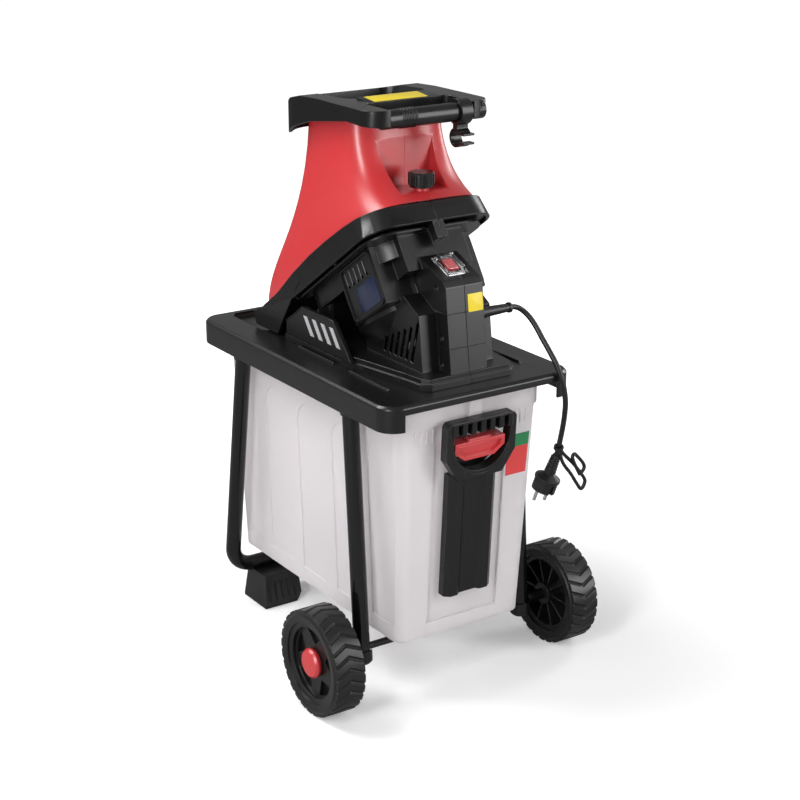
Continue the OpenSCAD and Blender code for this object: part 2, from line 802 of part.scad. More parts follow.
module pusher() {
    hw = pusher_w / 2;
    back = box_recess - run_gap;
    corner = 8;
    rib_count = 6;
    rib_pitch = 15;
    groove = 7;
    groove_front = handle_back - handle_depth - 1;
    low_hw = blade_w / 2 - 3;
    color(black) on_box_front() {
        // Handle loop with its grip
        difference() {
            rotate([90, 0, 0]) translate([0, 0, -handle_back]) linear_extrude(handle_depth) difference() {
                polygon(concat(
                    [[-hw, -46], [-low_hw, handle_low], [low_hw, handle_low], [hw, -46]],
                    arc(hw - corner, handle_top - corner, corner, 0, 90, 8),
                    arc(corner - hw, handle_top - corner, corner, 90, 180, 8)
                ));
                polygon(concat(
                    [[loop_r, grip_bottom], [-loop_r, grip_bottom]],
                    arc(0, loop_mid, loop_r, 180, 360, 32)
                ));
            }
            // Gaps between the ribs of the grip
            for (i = [0:rib_count - 1])
                translate([(i - (rib_count - 1) / 2) * rib_pitch - groove / 2, groove_front, grip_bottom - 1])
                    cube([groove, 8, handle_top - grip_bottom - 3]);
        }
        // Blade with its lengthwise flutes
        translate([0, 0, handle_low + 2 - blade_l]) linear_extrude(blade_l) polygon([
            [-blade_w / 2, back], [blade_w / 2, back], [blade_w / 2, -8], [blade_w / 2 - 8, -14],
            [blade_w / 2 - 20, -14], [blade_w / 2 - 26, -9], [-blade_w / 2 + 26, -9],
            [-blade_w / 2 + 20, -14],
            [8 - blade_w / 2, -14], [-blade_w / 2, -8]
        ]);
        // Web between the blade and the loop
        translate([-low_hw + 4, handle_back - 2, handle_low - 5])
            cube([2 * low_hw - 8, back - handle_back + 1, 13]);
    }
}

// Motor housing, in two half shells that meet at X = 0

function base_half(inset) = [
    [0, -227 + inset], [64, -227 + inset], [76 - inset, -217 + inset], [79 - inset, -190],
    [93 - inset, -112], [wing_hw - inset, -62], [wing_hw - inset, 84 - inset], [0, 84 - inset]
];

module base_outline(inset) {
    polygon(base_half(inset));
    mirror([1, 0]) polygon(base_half(inset));
}

function switch_outline(inset) = [
    [switch_top_y + 10 - inset, deck_h + inset], [switch_toe_y + inset, deck_h + inset],
    [switch_toe_y + inset, deck_h + base_h], [switch_front_y + inset, switch_front_z - 8],
    [switch_edge_y + inset, switch_front_z - inset], [switch_top_y, switch_top_z - inset],
    [switch_top_y + 10 - inset, switch_top_z - inset - 6]
];

function lower_outline(inset) = [
    [-60 - inset, deck_h + inset], [-198 + inset, deck_h + inset], [-186 + inset, deck_h + 92 - inset],
    [-150, deck_h + 112 - inset], [-60 - inset, deck_h + 60]
];

cone_rate = (barrel_r - end_r) / (cone_top - barrel_low);
function cone_r(z) = end_r + (z - barrel_low) * cone_rate;

module barrel(inset) {
    on_motor() rotate_extrude() polygon([
        [0, barrel_low + inset], [end_r - inset, barrel_low + inset], [barrel_r - inset, cone_top],
        [barrel_r - inset, floor_low + 1], [0, floor_low + 1]
    ]);
}

module side_panels(inset) {
    hw = panel_hw - inset;
    top = inset > 0 ? floor_low + 1 : panel_high;
    on_slope() translate([-hw, side_panel_front + inset, side_panel_low + inset])
        cube([2 * hw, side_panel_rear - side_panel_front - 2 * inset, top - side_panel_low - inset]);
}

// Block on the front of the barrel, under the rim's tab
module front_block(inset) {
    hw = block_hw - inset;
    top = inset > 0 ? floor_low + 1 : panel_high;
    on_slope() translate([-hw, block_front + inset, block_low + inset])
        cube([2 * hw, motor_y - block_front - inset, top - block_low - inset]);
}

module tray() {
    on_slope() difference() {
        union() {
            translate([0, 0, floor_low])
                slab(tray_w, tray_front, tray_rear, tray_corner, tray_depth - run_gap);
            translate([0, 0, -flange_t - run_gap])
                slab(flange_w, flange_front, tray_rear, flange_corner, flange_t);
        }
        tray_room(tray_wall);
    }
}

// Hollow of the tray, in the slope's frame
module tray_room(wall) {
    translate([0, 0, floor_low + wall])
        slab(tray_w - 2 * wall, tray_front + wall, tray_rear - wall, tray_corner - wall, 2 * tray_depth);
}

module wing(side) {
    wing_t = 6;
    x = side > 0 ? wing_hw - wing_t : -wing_hw;
    translate([x, 0, 0]) rotate([90, 0, 90]) linear_extrude(wing_t) polygon([
        [-92, deck_h + 10], [-84, deck_h + 22], [-68, deck_h + 38], [-50, deck_h + 58], [-44, deck_h + 60],
        [36, deck_h + 60], [58, deck_h + 44], [80, deck_h + 30], [80, deck_h + 10]
    ]);
}

// Discharge duct from the tray down to the deck
module duct(inset) {
    intersection() {
        translate([0, 0, deck_h - inset]) slab(2 * (duct_hw - inset), 5 + inset, 82 - inset, 9 - inset, 130);
        on_slope() translate([-far, -far, -far])
            cube([2 * far, 2 * far, far + floor_low + (inset > 0 ? tray_wall + 1 : 1)]);
    }
}

module vent_slots() {
    // Slots above the label panels
    on_slope() for (side = [-1, 1], i = [0:4])
        translate([side > 0 ? panel_hw - 3 : -panel_hw - 3, -46 - i * 13, -34]) cube([6, 6, 22]);
    // Louvres beside the switch box
    for (side = [-1, 1], i = [0:5]) translate([side * 60 - 9, -108 - i * 13, deck_h + base_h + 8])
        rotate([14, 0, 0]) cube([18, 6, 22 + i * 7]);
}

module housing_screw_places() {
    for (p = [[-186, deck_h + 126], [-200, deck_h + 61], [-200, deck_h + 24]])
        translate([0, p[0], p[1]]) children();
}

module housing() {
    difference() {
        union() {
            difference() {
                union() {
                    translate([0, 0, deck_h]) {
                        linear_extrude(base_h) base_outline(lip);
                        linear_extrude(lip_h) base_outline(0);
                    }
                    for (side = [-1, 1]) wing(side);
                    barrel(0);
                    side_panels(0);
                    front_block(0);
                    duct(0);
                    side_solid(lower_outline(0), 116);
                    side_solid(switch_outline(0), switch_w);
                }
                translate([0, 0, deck_h - 1]) {
                    linear_extrude(base_h - housing_wall + 1) base_outline(lip + housing_wall);
                    linear_extrude(lip_h - housing_wall + 1) base_outline(housing_wall);
                }
                barrel(housing_wall);
                side_panels(housing_wall);
                front_block(housing_wall);
                on_slope() tray_room(tray_wall / 2);
                side_solid(lower_outline(housing_wall), 116 - 2 * housing_wall);
                side_solid(switch_outline(housing_wall), switch_w - 2 * housing_wall);
                vent_slots();
            }
            tray();
            duct_wall();
            // Ribs that hold the stator
            on_motor() for (a = [45:90:315]) rotate([0, 0, a]) translate([0, -4, 0]) rotate([90, 0, 0])
                mirror([0, 0, 1])
                linear_extrude(8) polygon([
                    [stator_r + fit, stator_low], [cone_r(stator_low) - 1, stator_low],
                    [barrel_r - 1, cone_top],
                    [barrel_r - 1, stator_top], [stator_r + fit, stator_top]
                ]);
            housing_screw_places() bar_x(-switch_w / 2 + 1, switch_w / 2 - 1, 5);
            stud_boss();
        }
        duct(housing_wall);
        housing_screw_places() {
            bar_x(-switch_w / 2 - 1, switch_w / 2 - 8, 2 + fit);
            bar_x(-switch_w / 2 - 1, -switch_w / 2 + 6, 4.2);
        }
        on_motor() translate([0, 0, floor_low - 1]) cylinder(r = 12, h = tray_wall + 2);
        translate([0, knob_y, stud_low - 6]) cylinder(r = stud_r + 3.4, h = 60);
        switch_openings();
        gland_hole();
    }
}

module duct_wall() {
    difference() {
        duct(0);
        duct(housing_wall);
    }
}

// Boss under the lock stud, at the front of the tray
module stud_boss() {
    intersection() {
        translate([0, knob_y, stud_low - 24]) cylinder(r = 13, h = 80);
        on_slope() translate([-far, tray_front + 1, floor_low])
            cube([2 * far, motor_y - disc_d / 2 - 4 - tray_front, tray_depth - 1]);
    }
}

module switch_openings() {
    on_switch() translate([-13, -17, -20]) cube([26, 34, 40]);
}

module gland_hole() {
    translate([0, gland_y, gland_z]) bar_x(switch_w / 2 - 8, switch_w / 2 + 8, 6 + fit);
}

module housing_half(side) {
    color(black) intersection() {
        housing();
        half(side);
    }
}

module housing_left() { housing_half(-1); }
module housing_right() { housing_half(1); }

module housing_screws() {
    color(steel) housing_screw_places() translate([-switch_w / 2 + 6, 0, 0]) rotate([0, -90, 0])
        screw(2, 4, 2.5, switch_w - 16);
}

// Light slanted bars on both wings
module stripe_inserts() {
    bar_w = 9.5;
    bar_h = 25;
    bar_lean = 18.8;
    bar_pitch = 22.8;
    bar_t = 1;
    color(grey) for (side = [-1, 1], i = [0:3])
        translate([side > 0 ? wing_hw : -wing_hw - bar_t, 0, 0]) rotate([90, 0, 90]) linear_extrude(bar_t)
            translate([2.3 - i * bar_pitch, deck_h + 23.5])
                polygon([[0, 0], [bar_w, 0], [bar_w + bar_lean, bar_h], [bar_lean, bar_h]]);
}

// Motor

module motor_shield_upper() {
    color(grey) on_motor() difference() {
        union() {
            translate([0, 0, floor_low - shield_t]) cylinder(r = barrel_r - housing_wall - 5, h = shield_t);
            translate([0, 0, upper_bearing_z - 1]) cylinder(r = bearing_r + 6, h = 10 + eps);
        }
        translate([0, 0, upper_bearing_z]) cylinder(r = bearing_r + fit, h = 60);
        translate([0, 0, upper_bearing_z - 2]) cylinder(r = bearing_r - 4, h = 10);
        for (a = [30:60:330]) rotate([0, 0, a]) translate([46, 0, floor_low - shield_t - 1])
            cylinder(r = 9, h = shield_t + 2);
    }
}

module ring(r_out, r_in, z, h) {
    translate([0, 0, z]) difference() {
        cylinder(r = r_out, h = h);
        translate([0, 0, -1]) cylinder(r = r_in, h = h + 2);
    }
}

module bearing_upper() {
    color(steel) on_motor() ring(bearing_r, shaft_d / 2 + fit, upper_bearing_z, bearing_w);
}

module motor_shield_lower() {
    low = barrel_low + housing_wall;
    color(grey) on_motor() difference() {
        translate([0, 0, low]) cylinder(r = end_r - housing_wall - 4, h = low_bearing_w);
        translate([0, 0, low + 1]) cylinder(r = low_bearing_r + fit, h = 20);
        translate([0, 0, low - 1]) cylinder(r = low_bearing_r - 4, h = 20);
    }
}

module bearing_lower() {
    color(steel) on_motor()
        ring(low_bearing_r, low_shaft_r + fit, barrel_low + housing_wall + 1, low_bearing_w);
}

module stator() {
    color(grey) on_motor() ring(stator_r, bore_r, stator_low, stator_top - stator_low);
}

module field_coils() {
    color(copper) on_motor() for (z = [stator_low - coil_h, stator_top])
        ring(stator_r - 5, bore_r + 3, z, coil_h);
}

module brush_holders() {
    color(black) on_motor() for (side = [-1, 1])
        translate([side > 0 ? comm_r + run_gap : -comm_r - run_gap - 24, -5, comm_z])
            cube([24, 10, comm_h]);
}

module rotor_core() {
    color(steel) on_motor() ring(bore_r - air_gap, shaft_d / 2 + fit, stator_low, stator_top - stator_low);
}

module commutator() {
    color(copper) on_motor() ring(comm_r, shaft_d / 2 + fit, comm_z, comm_h);
}

module motor_shaft() {
    low = barrel_low + housing_wall + 1;
    color(steel) on_motor() {
        translate([0, 0, low]) cylinder(r = low_shaft_r, h = 12);
        translate([0, 0, low + low_bearing_w]) cylinder(d = shaft_d, h = disc_z - low - low_bearing_w);
    }
}

module cooling_fan() {
    blade_count = 9;
    color(black) on_motor() difference() {
        union() {
            translate([0, 0, fan_z]) cylinder(r = 48, h = 2);
            translate([0, 0, fan_z]) cylinder(r = 13, h = fan_h);
            for (i = [0:blade_count - 1]) rotate([0, 0, i * 360 / blade_count])
                translate([11, -1, fan_z]) cube([36, 2, fan_h]);
        }
        translate([0, 0, fan_z - 1]) cylinder(d = shaft_d + 2 * fit, h = fan_h + 2);
    }
}

// Cutter

module knife_places() {
    for (turn = [0, 180]) rotate([0, 0, turn]) translate([0, 10, 0]) children();
}

module knife_disc() {
    color(steel) on_motor() difference() {
        translate([0, 0, disc_z]) cylinder(d = disc_d, h = disc_t);
        translate([0, 0, disc_z - 1]) cylinder(r = 5 + fit, h = disc_t + 2);
        // Slots that let the chips through
        knife_places() translate([20, -13, disc_z - 1]) cube([44, 9, disc_t + 2]);
        knife_places() for (x = [30, 54]) translate([x, 6, disc_z - 1]) cylinder(r = 3 + fit, h = disc_t + 2);
    }
}

module knives() {
    color(steel) on_motor() knife_places() difference() {
        translate([18, -4, disc_z + disc_t]) rotate([90, 0, 90]) linear_extrude(48)
            polygon([[-3, 0], [16, 0], [16, knife_t], [3, knife_t]]);
        for (x = [30, 54]) translate([x, 6, disc_z]) {
            cylinder(r = 3 + fit, h = 20);
            translate([0, 0, disc_t + knife_t - 3]) cylinder(r = 5.5 + fit, h = 4);
        }
    }
}

module knife_screws() {
    color(steel) on_motor() knife_places() for (x = [30, 54])
        translate([x, 6, disc_z + disc_t + knife_t - 3]) screw(3, 5.5, 3, disc_t + knife_t - 3);
}

module disc_bolt() {
    color(steel) on_motor() {
        translate([0, 0, disc_z + disc_t]) cylinder(r = 13, h = 3);
        translate([0, 0, disc_z + disc_t + 3 - eps]) cylinder(r = 9, h = 6, $fn = 6);
        translate([0, 0, disc_z]) cylinder(r = 5, h = disc_t + eps);
    }
}

module counter_blade_places() {
    on_slope() for (x = [-24, 24]) translate([x, blade_edge + 14, ceiling_z]) children();
}

module counter_blade_holes() {
    counter_blade_places() translate([0, 0, -12]) cylinder(r = 2.5 + fit, h = 20);
}

// Fixed steel edge under the chamber's ceiling, behind the feed hole
module counter_blade() {
    color(steel) difference() {
        on_slope() translate([-44, blade_edge, blade_low]) cube([88, 24, ceiling_z - blade_low]);
        counter_blade_holes();
    }
}

module counter_blade_screws() {
    color(steel) counter_blade_places() translate([0, 0, ceiling_t])
        screw(2.5, 4.5, 3, ceiling_z + ceiling_t - blade_low - 4);
}

// Switch

module switch_body() {
    color(black) on_switch() difference() {
        union() {
            translate([-12.5, -16.5, -10]) cube([25, 33, 11]);
            translate([-12.5, -12.5, -21]) cube([25, 29, 12]);
        }
        translate([-8, -11.5, -11]) cube([16, 23, 20]);
    }
}

module switch_rocker() {
    color(red) on_switch() {
        rotate([90, 0, 90]) translate([0, 0, -7.6]) linear_extrude(15.2)
            polygon([[-10, -2], [0, -7], [10, -2], [10, 4.4], [0, 3], [-10, 3.4]]);
    }
}

// Clear splash cover over the rocker
module switch_cover() {
    color(clear) on_switch() difference() {
        union() {
            translate([-17, -20.5, 0.2]) cube([34, 41, 2]);
            translate([-13, -16, 0.2]) cube([26, 32, 9]);
        }
        translate([-11.5, -14.5, -1]) cube([23, 29, 9]);
        translate([-13, -17, -1]) cube([26, 34, 2.2]);
    }
}

// Hopper

module hinge_pins() {
    color(steel) for (side = [-1, 1]) translate([0, pivot_y, pivot_z])
        bar_x(side > 0 ? lug_x : -96, side > 0 ? 96 : -lug_x, pin_r);
}

// Outline of the rim in the parting plane, tapered towards the red shell
module rim_body(inset, low, high) {
    rear = pivot_slope_y + heel_r - inset;
    intersection() {
        hull() {
            translate([0, 0, low]) slab(rim_w - 2 * inset, rim_front + inset, rear, rim_corner, 1, $fn = 32);
            translate([0, 0, rim_high - 1])
                slab(rim_w - 2 * (inset + rim_taper), rim_front + inset + rim_taper,
                    rear - rim_taper, rim_corner, 1, $fn = 32);
        }
        below_crest(high);
    }
}

// Everything below the curved line where the red shell sits on the rim
module below_crest(lift) {
    translate([-far, 0, 0]) rotate([90, 0, 90]) linear_extrude(2 * far)
        polygon(concat([[-300, -far]], [for (p = crest_line) p + [0, lift]], [[300, -far]]));
}

module rim() {
    difference() {
        union() {
            on_slope() difference() {
                rim_body(0, 0, 0);
                rim_body(rim_wall, -1, 1);
            }
            // Ceiling of the cutting chamber
            on_slope() intersection() {
                rim_body(1, 0, 0);
                translate([0, 0, ceiling_z]) slab(rim_w, rim_front, pivot_slope_y - 24, 10, ceiling_t);
            }
            // Plate at the heel, in front of the hinge lugs and between them
            on_slope() intersection() {
                rim_body(1, 0, 0);
                union() {
                    translate([-rim_w / 2, pivot_slope_y - 44, 14]) cube([rim_w, 23, 9]);
                    translate([4 - lug_x, pivot_slope_y - 44, 14]) cube([2 * lug_x - 8, 70, 9]);
                }
            }
            // Tab that reaches down in front of the tray
            on_slope() translate([-9, rim_front + 1, -24]) cube([18, 14, 30]);
            for (side = [-1, 1]) {
                translate([0, pivot_y, pivot_z])
                    bar_x(side > 0 ? lug_x + lug_t + run_gap : 1 - rim_w / 2,
                        side > 0 ? rim_w / 2 - 1 : -lug_x - lug_t - run_gap, 10);
                cheek(side);
            }
            on_slope() for (side = [-1, 1], y = [-40, 90])
                translate([side * (rim_w / 2 - screw_in), y, ceiling_z + 1])
                    cylinder(r = boss_r, h = crest(y) - ceiling_z - 3);
        }
        // Heel, kept clear of the deck over the whole swing
        heel_room();
        on_slope() chute_block(-eps, 30);
        translate([0, pivot_y, pivot_z]) bar_x(-97, 97, pin_r + 0.1);
        translate([0, knob_y, 500]) cylinder(r = stud_r + 1, h = 300);
        lug_notches();
        hopper_screw_places() translate([0, 0, -40]) cylinder(r = 2 + fit, h = 80);
        counter_blade_holes();
    }
}

// Room in the hopper for the deck's lugs, over the whole swing
module lug_notches() {
    for (side = [-1, 1]) translate([side > 0 ? lug_x - 2 : -lug_x - lug_t - run_gap, pivot_y, pivot_z]) {
        bar_x(0, lug_t + 2 + run_gap, 13);
        translate([0, -13, -60]) cube([lug_t + 2 + run_gap, 60, 73]);
    }
}

// Cheek that carries the rim's side down to the hinge
module cheek(side) {
    x = side > 0 ? rim_w / 2 - 5 : -rim_w / 2;
    translate([x, 0, 0]) rotate([90, 0, 90]) linear_extrude(5) polygon([
        [62, plane_z(62, 2)], [86, deck_h + 33], [106, deck_h + 2], [168, deck_h + 2],
        [pivot_y + 18, pivot_z + 4], [120, plane_z(120, 12)]
    ]);
}

// Everything below the deck or outside the heel's circle behind the pivot
module heel_room() {
    translate([-far, -far, deck_h - 200]) cube([2 * far, 2 * far, 200 + 1]);
    difference() {
        translate([-far, pivot_y, deck_h - 50]) cube([2 * far, 100, pivot_z - deck_h + 50]);
        translate([0, pivot_y, pivot_z]) bar_x(-far, far, heel_r);
    }
}

function signed_power(v, e) = sign(v) * pow(abs(v), e);

// Ring of the hopper shell: t = 0 lies on the rim, t = 1 at the neck's top
shell_sides = 56;
shell_rings = 14;
shell_power = 2 / 4.6;
heel_power = 2 / 6;
shell_low_front = -139;
shell_low_rear = 176;

function shell_low(a, inset, lift) =
    let (
        mid = (shell_low_front + shell_low_rear) / 2,
        reach = (shell_low_rear - shell_low_front) / 2 - inset,
        power = sin(a) > 0 ? heel_power : shell_power,
        x = (rim_w / 2 - rim_taper - 0.4 - inset) * signed_power(cos(a), power),
        y = mid + reach * signed_power(sin(a), power)
    ) [x, y, plane_z(y, rim_t + fit + lift)];

function shell_high(a, inset, lift) =
    let (
        mid = (neck_front + neck_rear) / 2,
        reach = (neck_rear - neck_front) / 2 - inset,
        x = (neck_w / 2 - inset) * signed_power(cos(a), shell_power),
        y = mid + reach * signed_power(sin(a), shell_power)
    ) [x, y, collar_top - collar_t - run_gap + lift];

function bezier(p, c, d, q, t) =
    pow(1 - t, 3) * p + 3 * t * pow(1 - t, 2) * c + 3 * t * t * (1 - t) * d + pow(t, 3) * q;

function shell_point(a, t, inset, lift) =
    let (
        p = shell_low(a, inset, -lift),
        q = shell_high(a, inset, lift),
        rise = q[2] - p[2],
        ahead = max(0, -sin(a)),
        lean = 0.5 * ahead * [q[0] - p[0], q[1] - p[1], 0]
    ) bezier(p, p + lean + [0, 0, (0.24 - 0.12 * ahead) * rise],
        q - [0, 0, (0.58 + 0.1 * ahead) * rise], q, t);

module shell_loft(inset, lift) {
    points = [for (k = [0:shell_rings], i = [0:shell_sides - 1])
        shell_point(360 * i / shell_sides, k / shell_rings, inset, lift)];
    sides = [for (k = [0:shell_rings - 1], i = [0:shell_sides - 1])
        let (a = k * shell_sides + i, b = k * shell_sides + (i + 1) % shell_sides)
        each [[a, a + shell_sides, b], [b, a + shell_sides, b + shell_sides]]];
    low = [for (i = [0:shell_sides - 1]) i];
    high = [for (i = [shell_sides - 1:-1:0]) shell_rings * shell_sides + i];
    polyhedron(points, concat([low], sides, [high]));
}

// Recess at the front of the shell, round the lock knob
module knob_pocket(grow) {
    floor_z = knob_floor - grow;
    low_hw = pocket_hw + grow;
    translate([0, pocket_rear + grow, 0]) rotate([90, 0, 0]) linear_extrude(200)
        polygon([[-low_hw, floor_z], [low_hw, floor_z], [low_hw + 10, floor_z + 90],
            [-low_hw - 10, floor_z + 90]]);
}

module shell() {
    difference() {
        union() {
            difference() {
                shell_loft(0, 0);
                on_slope() below_crest(fit);
                knob_pocket(0);
                difference() {
                    shell_loft(shell_wall, 1);
                    knob_pocket(shell_wall);
                }
            }
            translate([0, knob_y, knob_floor - eps]) cylinder(r = 10, h = knob_boss_h);
            hopper_bosses();
        }
        translate([0, knob_y, knob_floor - 10]) cylinder(r = stud_r + 0.3, h = 40);
        lug_notches();
        above_hood();
        hopper_screw_places() translate([0, 0, -10]) cylinder(r = 2 + fit, h = 40);
    }
}

// Screws that hold the rim to the shell, square to the parting plane
module hopper_screw_places() {
    on_slope() for (side = [-1, 1], y = [-40, 90])
        translate([side * (rim_w / 2 - screw_in), y, crest(y)]) children();
}

module hopper_bosses() {
    difference() {
        intersection() {
            on_slope() for (side = [-1, 1], y = [-40, 90])
                translate([side * (rim_w / 2 - screw_in), y, rim_t]) {
                cylinder(r = boss_r, h = crest(y) - rim_t + 22);
                translate([side > 0 ? 0 : -screw_in, -2, 0]) cube([screw_in, 4, crest(y) - rim_t + 22]);
            }
            shell_loft(1, 0);
        }
        on_slope() below_crest(fit);
    }
}

module shell_half(side) {
    color(red) intersection() {
        shell();
        half(side);
    }
}

module rim_half(side) {
    color(black) intersection() {
        rim();
        half(side);
    }
}

module hopper_shell_left() { shell_half(-1); }
module hopper_shell_right() { shell_half(1); }
module hopper_rim_left() { rim_half(-1); }
module hopper_rim_right() { rim_half(1); }

module hopper_screws() {
    color(steel) on_slope() for (side = [-1, 1], y = [-40, 90])
        translate([side * (rim_w / 2 - screw_in), y, ceiling_z]) rotate([180, 0, 0])
            screw(2, 4, 2.5, crest(y) - ceiling_z + 14);
}

// Block between the inlet and the chamber's ceiling, used for the chute's wall and bore
chute_top = collar_top - funnel_h;

module chute_block(grow, drop) {
    translate([-48 - grow, -62 - grow, ceiling_z + ceiling_t - drop])
        cube([96 + 2 * grow, 54 + 2 * grow, drop + eps]);
}

module chute_solid(grow, low, high) {
    hull() {
        on_slope() translate([-48 - grow, -62 - grow, ceiling_z + ceiling_t - low])
            cube([96 + 2 * grow, 54 + 2 * grow, 1]);
        translate([-58 - grow, -26 - grow, chute_top - 1 + high]) cube([116 + 2 * grow, 88 + 2 * grow, 1]);
    }
}

module feed_chute() {
    color(black) difference() {
        chute_solid(shell_wall, 0, 0);
        chute_solid(0, 1, 1);
    }
}

// Collar with the carrying handle

module inlet(grow, lift) {
    hull() {
        translate([0, 0, collar_top - 1 + lift])
            slab(inlet_w + 2 * grow, inlet_front - grow, inlet_rear + grow, 28, 1, $fn = 32);
        translate([0, 0, chute_top - lift]) slab(116 + 2 * grow, -26 - grow, 62 + grow, 14, 1, $fn = 32);
    }
}

// Top line of the collar, which rounds down to the rear like a hood
function hood_line(inset) = [
    [collar_rear - inset, collar_top - 42], [collar_rear - 6 - inset, collar_top - 29],
    [collar_rear - 18, collar_top - 17 - inset],
    [collar_rear - 36, collar_top - 8 - inset], [collar_rear - 62, collar_top - 2 - inset],
    [0, collar_top - inset]
];

function collar_side(inset) = concat([
    [collar_front + inset, collar_top - 22], [-73, collar_top - 20], [16, collar_top - 33],
    [61, collar_top - 46],
    [88, collar_top - 60], [collar_rear - 4 - inset, collar_top - 58]
], hood_line(inset), [[collar_front + inset, collar_top - inset]]);

// Everything above the underside of the collar's top
module above_hood() {
    side_solid(concat(hood_line(collar_t + run_gap), [
        [collar_front, collar_top - collar_t - run_gap], [collar_front, collar_top + 60],
        [collar_rear + 60, collar_top + 60], [collar_rear + 60, collar_top - 42]
    ]), 2 * collar_w);
}

// Outline of the collar from above, rounder at the rear
module collar_plan(inset) {
    hw = collar_w / 2 - inset;
    r = hood_corner - inset;
    front_r = collar_corner - inset;
    translate([0, 0, collar_top - 100]) linear_extrude(120) polygon(concat(
        arc(hw - r, collar_rear - inset - r, r, 0, 90, 12),
            arc(r - hw, collar_rear - inset - r, r, 90, 180, 12),
        arc(front_r - hw, collar_front + inset + front_r, front_r, 180, 270, 12),
        arc(hw - front_r, collar_front + inset + front_r, front_r, 270, 360, 12)
    ));
}

module feed_collar() {
    color(black) difference() {
        union() {
            difference() {
                intersection() {
                    side_solid(collar_side(0), collar_w);
                    collar_plan(0);
                }
                // Hollow under the top
                intersection() {
                    side_solid(concat(
                        [[gap_rear + collar_t, collar_top - 80], [collar_rear - collar_t, collar_top - 80]],
                        hood_line(collar_t), [[gap_rear + collar_t, collar_top - collar_t]]), collar_w);
                    collar_plan(collar_t);
                }
                // Room for the hand behind the bar
                translate([0, 0, collar_top - 60]) slab(gap_w, gap_front, gap_rear, 10, 100);
                bar_room();
            }
            intersection() {
                inlet(shell_wall, 0);
                side_solid(concat([[collar_front, collar_top - 80], [collar_rear, collar_top - 80]],
                    hood_line(0),
                    [[collar_front, collar_top]]), collar_w);
            }
            translate([0, bar_y, bar_z]) bar_x(-gap_w / 2 - 8, collar_w / 2 - 10, bar_d / 2);
            for (i = [0:4]) translate([i * 5 - 46, bar_y, bar_z]) bar_x(0, 2.5, bar_d / 2 + 1);
        }
        inlet(0, 1);
    }
}

// Cut that leaves the bar free between the two arms
module bar_room() {
    translate([-gap_w / 2, collar_front - 5, collar_top - 60])
        cube([gap_w, gap_front - collar_front + 15, 100]);
}

module lock_knob() {
    z = knob_floor + knob_boss_h + run_gap;
    color(black) translate([0, knob_y, z]) difference() {
        union() {
            cylinder(d = knob_d - 4, h = 3);
            translate([0, 0, 3 - eps]) cylinder(d = knob_d, h = knob_h - 5);
            translate([0, 0, knob_h - 2 - eps]) cylinder(d1 = knob_d, d2 = knob_d - 4, h = 2);
        }
        for (i = [0:knob_flutes - 1]) rotate([0, 0, i * 360 / knob_flutes])
            translate([knob_d / 2 + 0.6, 0, 3]) cylinder(r = 2.6, h = knob_h);
        translate([0, 0, -1]) cylinder(r = stud_r + fit, h = knob_h - 3);
    }
}

module lock_stud() {
    top = knob_floor + knob_boss_h + run_gap + knob_h - 4;
    color(steel) translate([0, knob_y, stud_low]) cylinder(r = stud_r, h = top - stud_low);
}

// Cord clip on the bar: a closed ring, and an open hook below it with two lips
module cable_clip() {
    ring_r = bar_d / 2 + 5;
    hook_out = 13;
    hook_in = 9.5;
    hook_z = -ring_r - hook_out - 4;
    lip_l = 7;
    mouth = 9;
    color(black) translate([clip_x, bar_y, bar_z]) difference() {
        union() {
            bar_x(0, clip_w, ring_r);
            translate([0, 0, hook_z]) bar_x(0, clip_w, hook_out);
            translate([0, -5, hook_z + hook_in]) cube([clip_w, 10, -hook_z - hook_in]);
            translate([0, -hook_out - lip_l, hook_z - mouth / 2 - 3])
                cube([clip_w, hook_out + lip_l, mouth + 6]);
        }
        bar_x(-1, clip_w + 1, bar_d / 2 + run_gap);
        translate([0, 0, hook_z]) bar_x(-1, clip_w + 1, hook_in);
        translate([-1, -hook_out - 2 * lip_l, hook_z - mouth / 2])
            cube([clip_w + 2, hook_out + 2 * lip_l, mouth]);
    }
}

// Cord

module strain_relief() {
    color(black) translate([0, gland_y, gland_z]) difference() {
        union() {
            bar_x(switch_w / 2 - 6, switch_w / 2 + 1, 6);
            bar_x(switch_w / 2, switch_w / 2 + 10, 8.5);
            translate([switch_w / 2 + 10 - eps, 0, 0]) rotate([0, 90, 0])
                cylinder(r1 = 7.5, r2 = 5.8, h = gland_tip - switch_w / 2 - 14);
            bar_x(gland_tip - 4 - eps, gland_tip, 7.2);
        }
        bar_x(switch_w / 2 - 10, gland_tip - 6, cord_d / 2);
    }
}

// Tube swept along a list of points
function unit(v) = v / norm(v);

function path_dir(path, i) =
    i == 0 ? unit(path[1] - path[0])
    : i == len(path) - 1 ? unit(path[i] - path[i - 1])
    : unit(path[i + 1] - path[i - 1]);

module sweep(path, r, sides) {
    points = [for (i = [0:len(path) - 1])
        let (
            dir = path_dir(path, i),
            across = unit(cross(dir, [0.3, 1, 0.2])),
            over = cross(dir, across)
        ) for (k = [0:sides - 1])
            path[i] + r * (cos(360 * k / sides) * across + sin(360 * k / sides) * over)];
    body = [for (i = [0:len(path) - 2], k = [0:sides - 1])
        let (a = i * sides + k, b = i * sides + (k + 1) % sides)
        each [[a, b, a + sides], [b, b + sides, a + sides]]];
    first = [for (k = [sides - 1:-1:0]) k];
    last = [for (k = [0:sides - 1]) (len(path) - 1) * sides + k];
    polyhedron(points, concat([first], body, [last]));
}

module power_cord() {
    color(black) sweep(cord_route, cord_d / 2, 10);
}

// Frame of the plug, with Z running down its axis
module on_plug() {
    translate(plug_start) rotate([180 - plug_pitch, plug_lean, 0]) children();
}

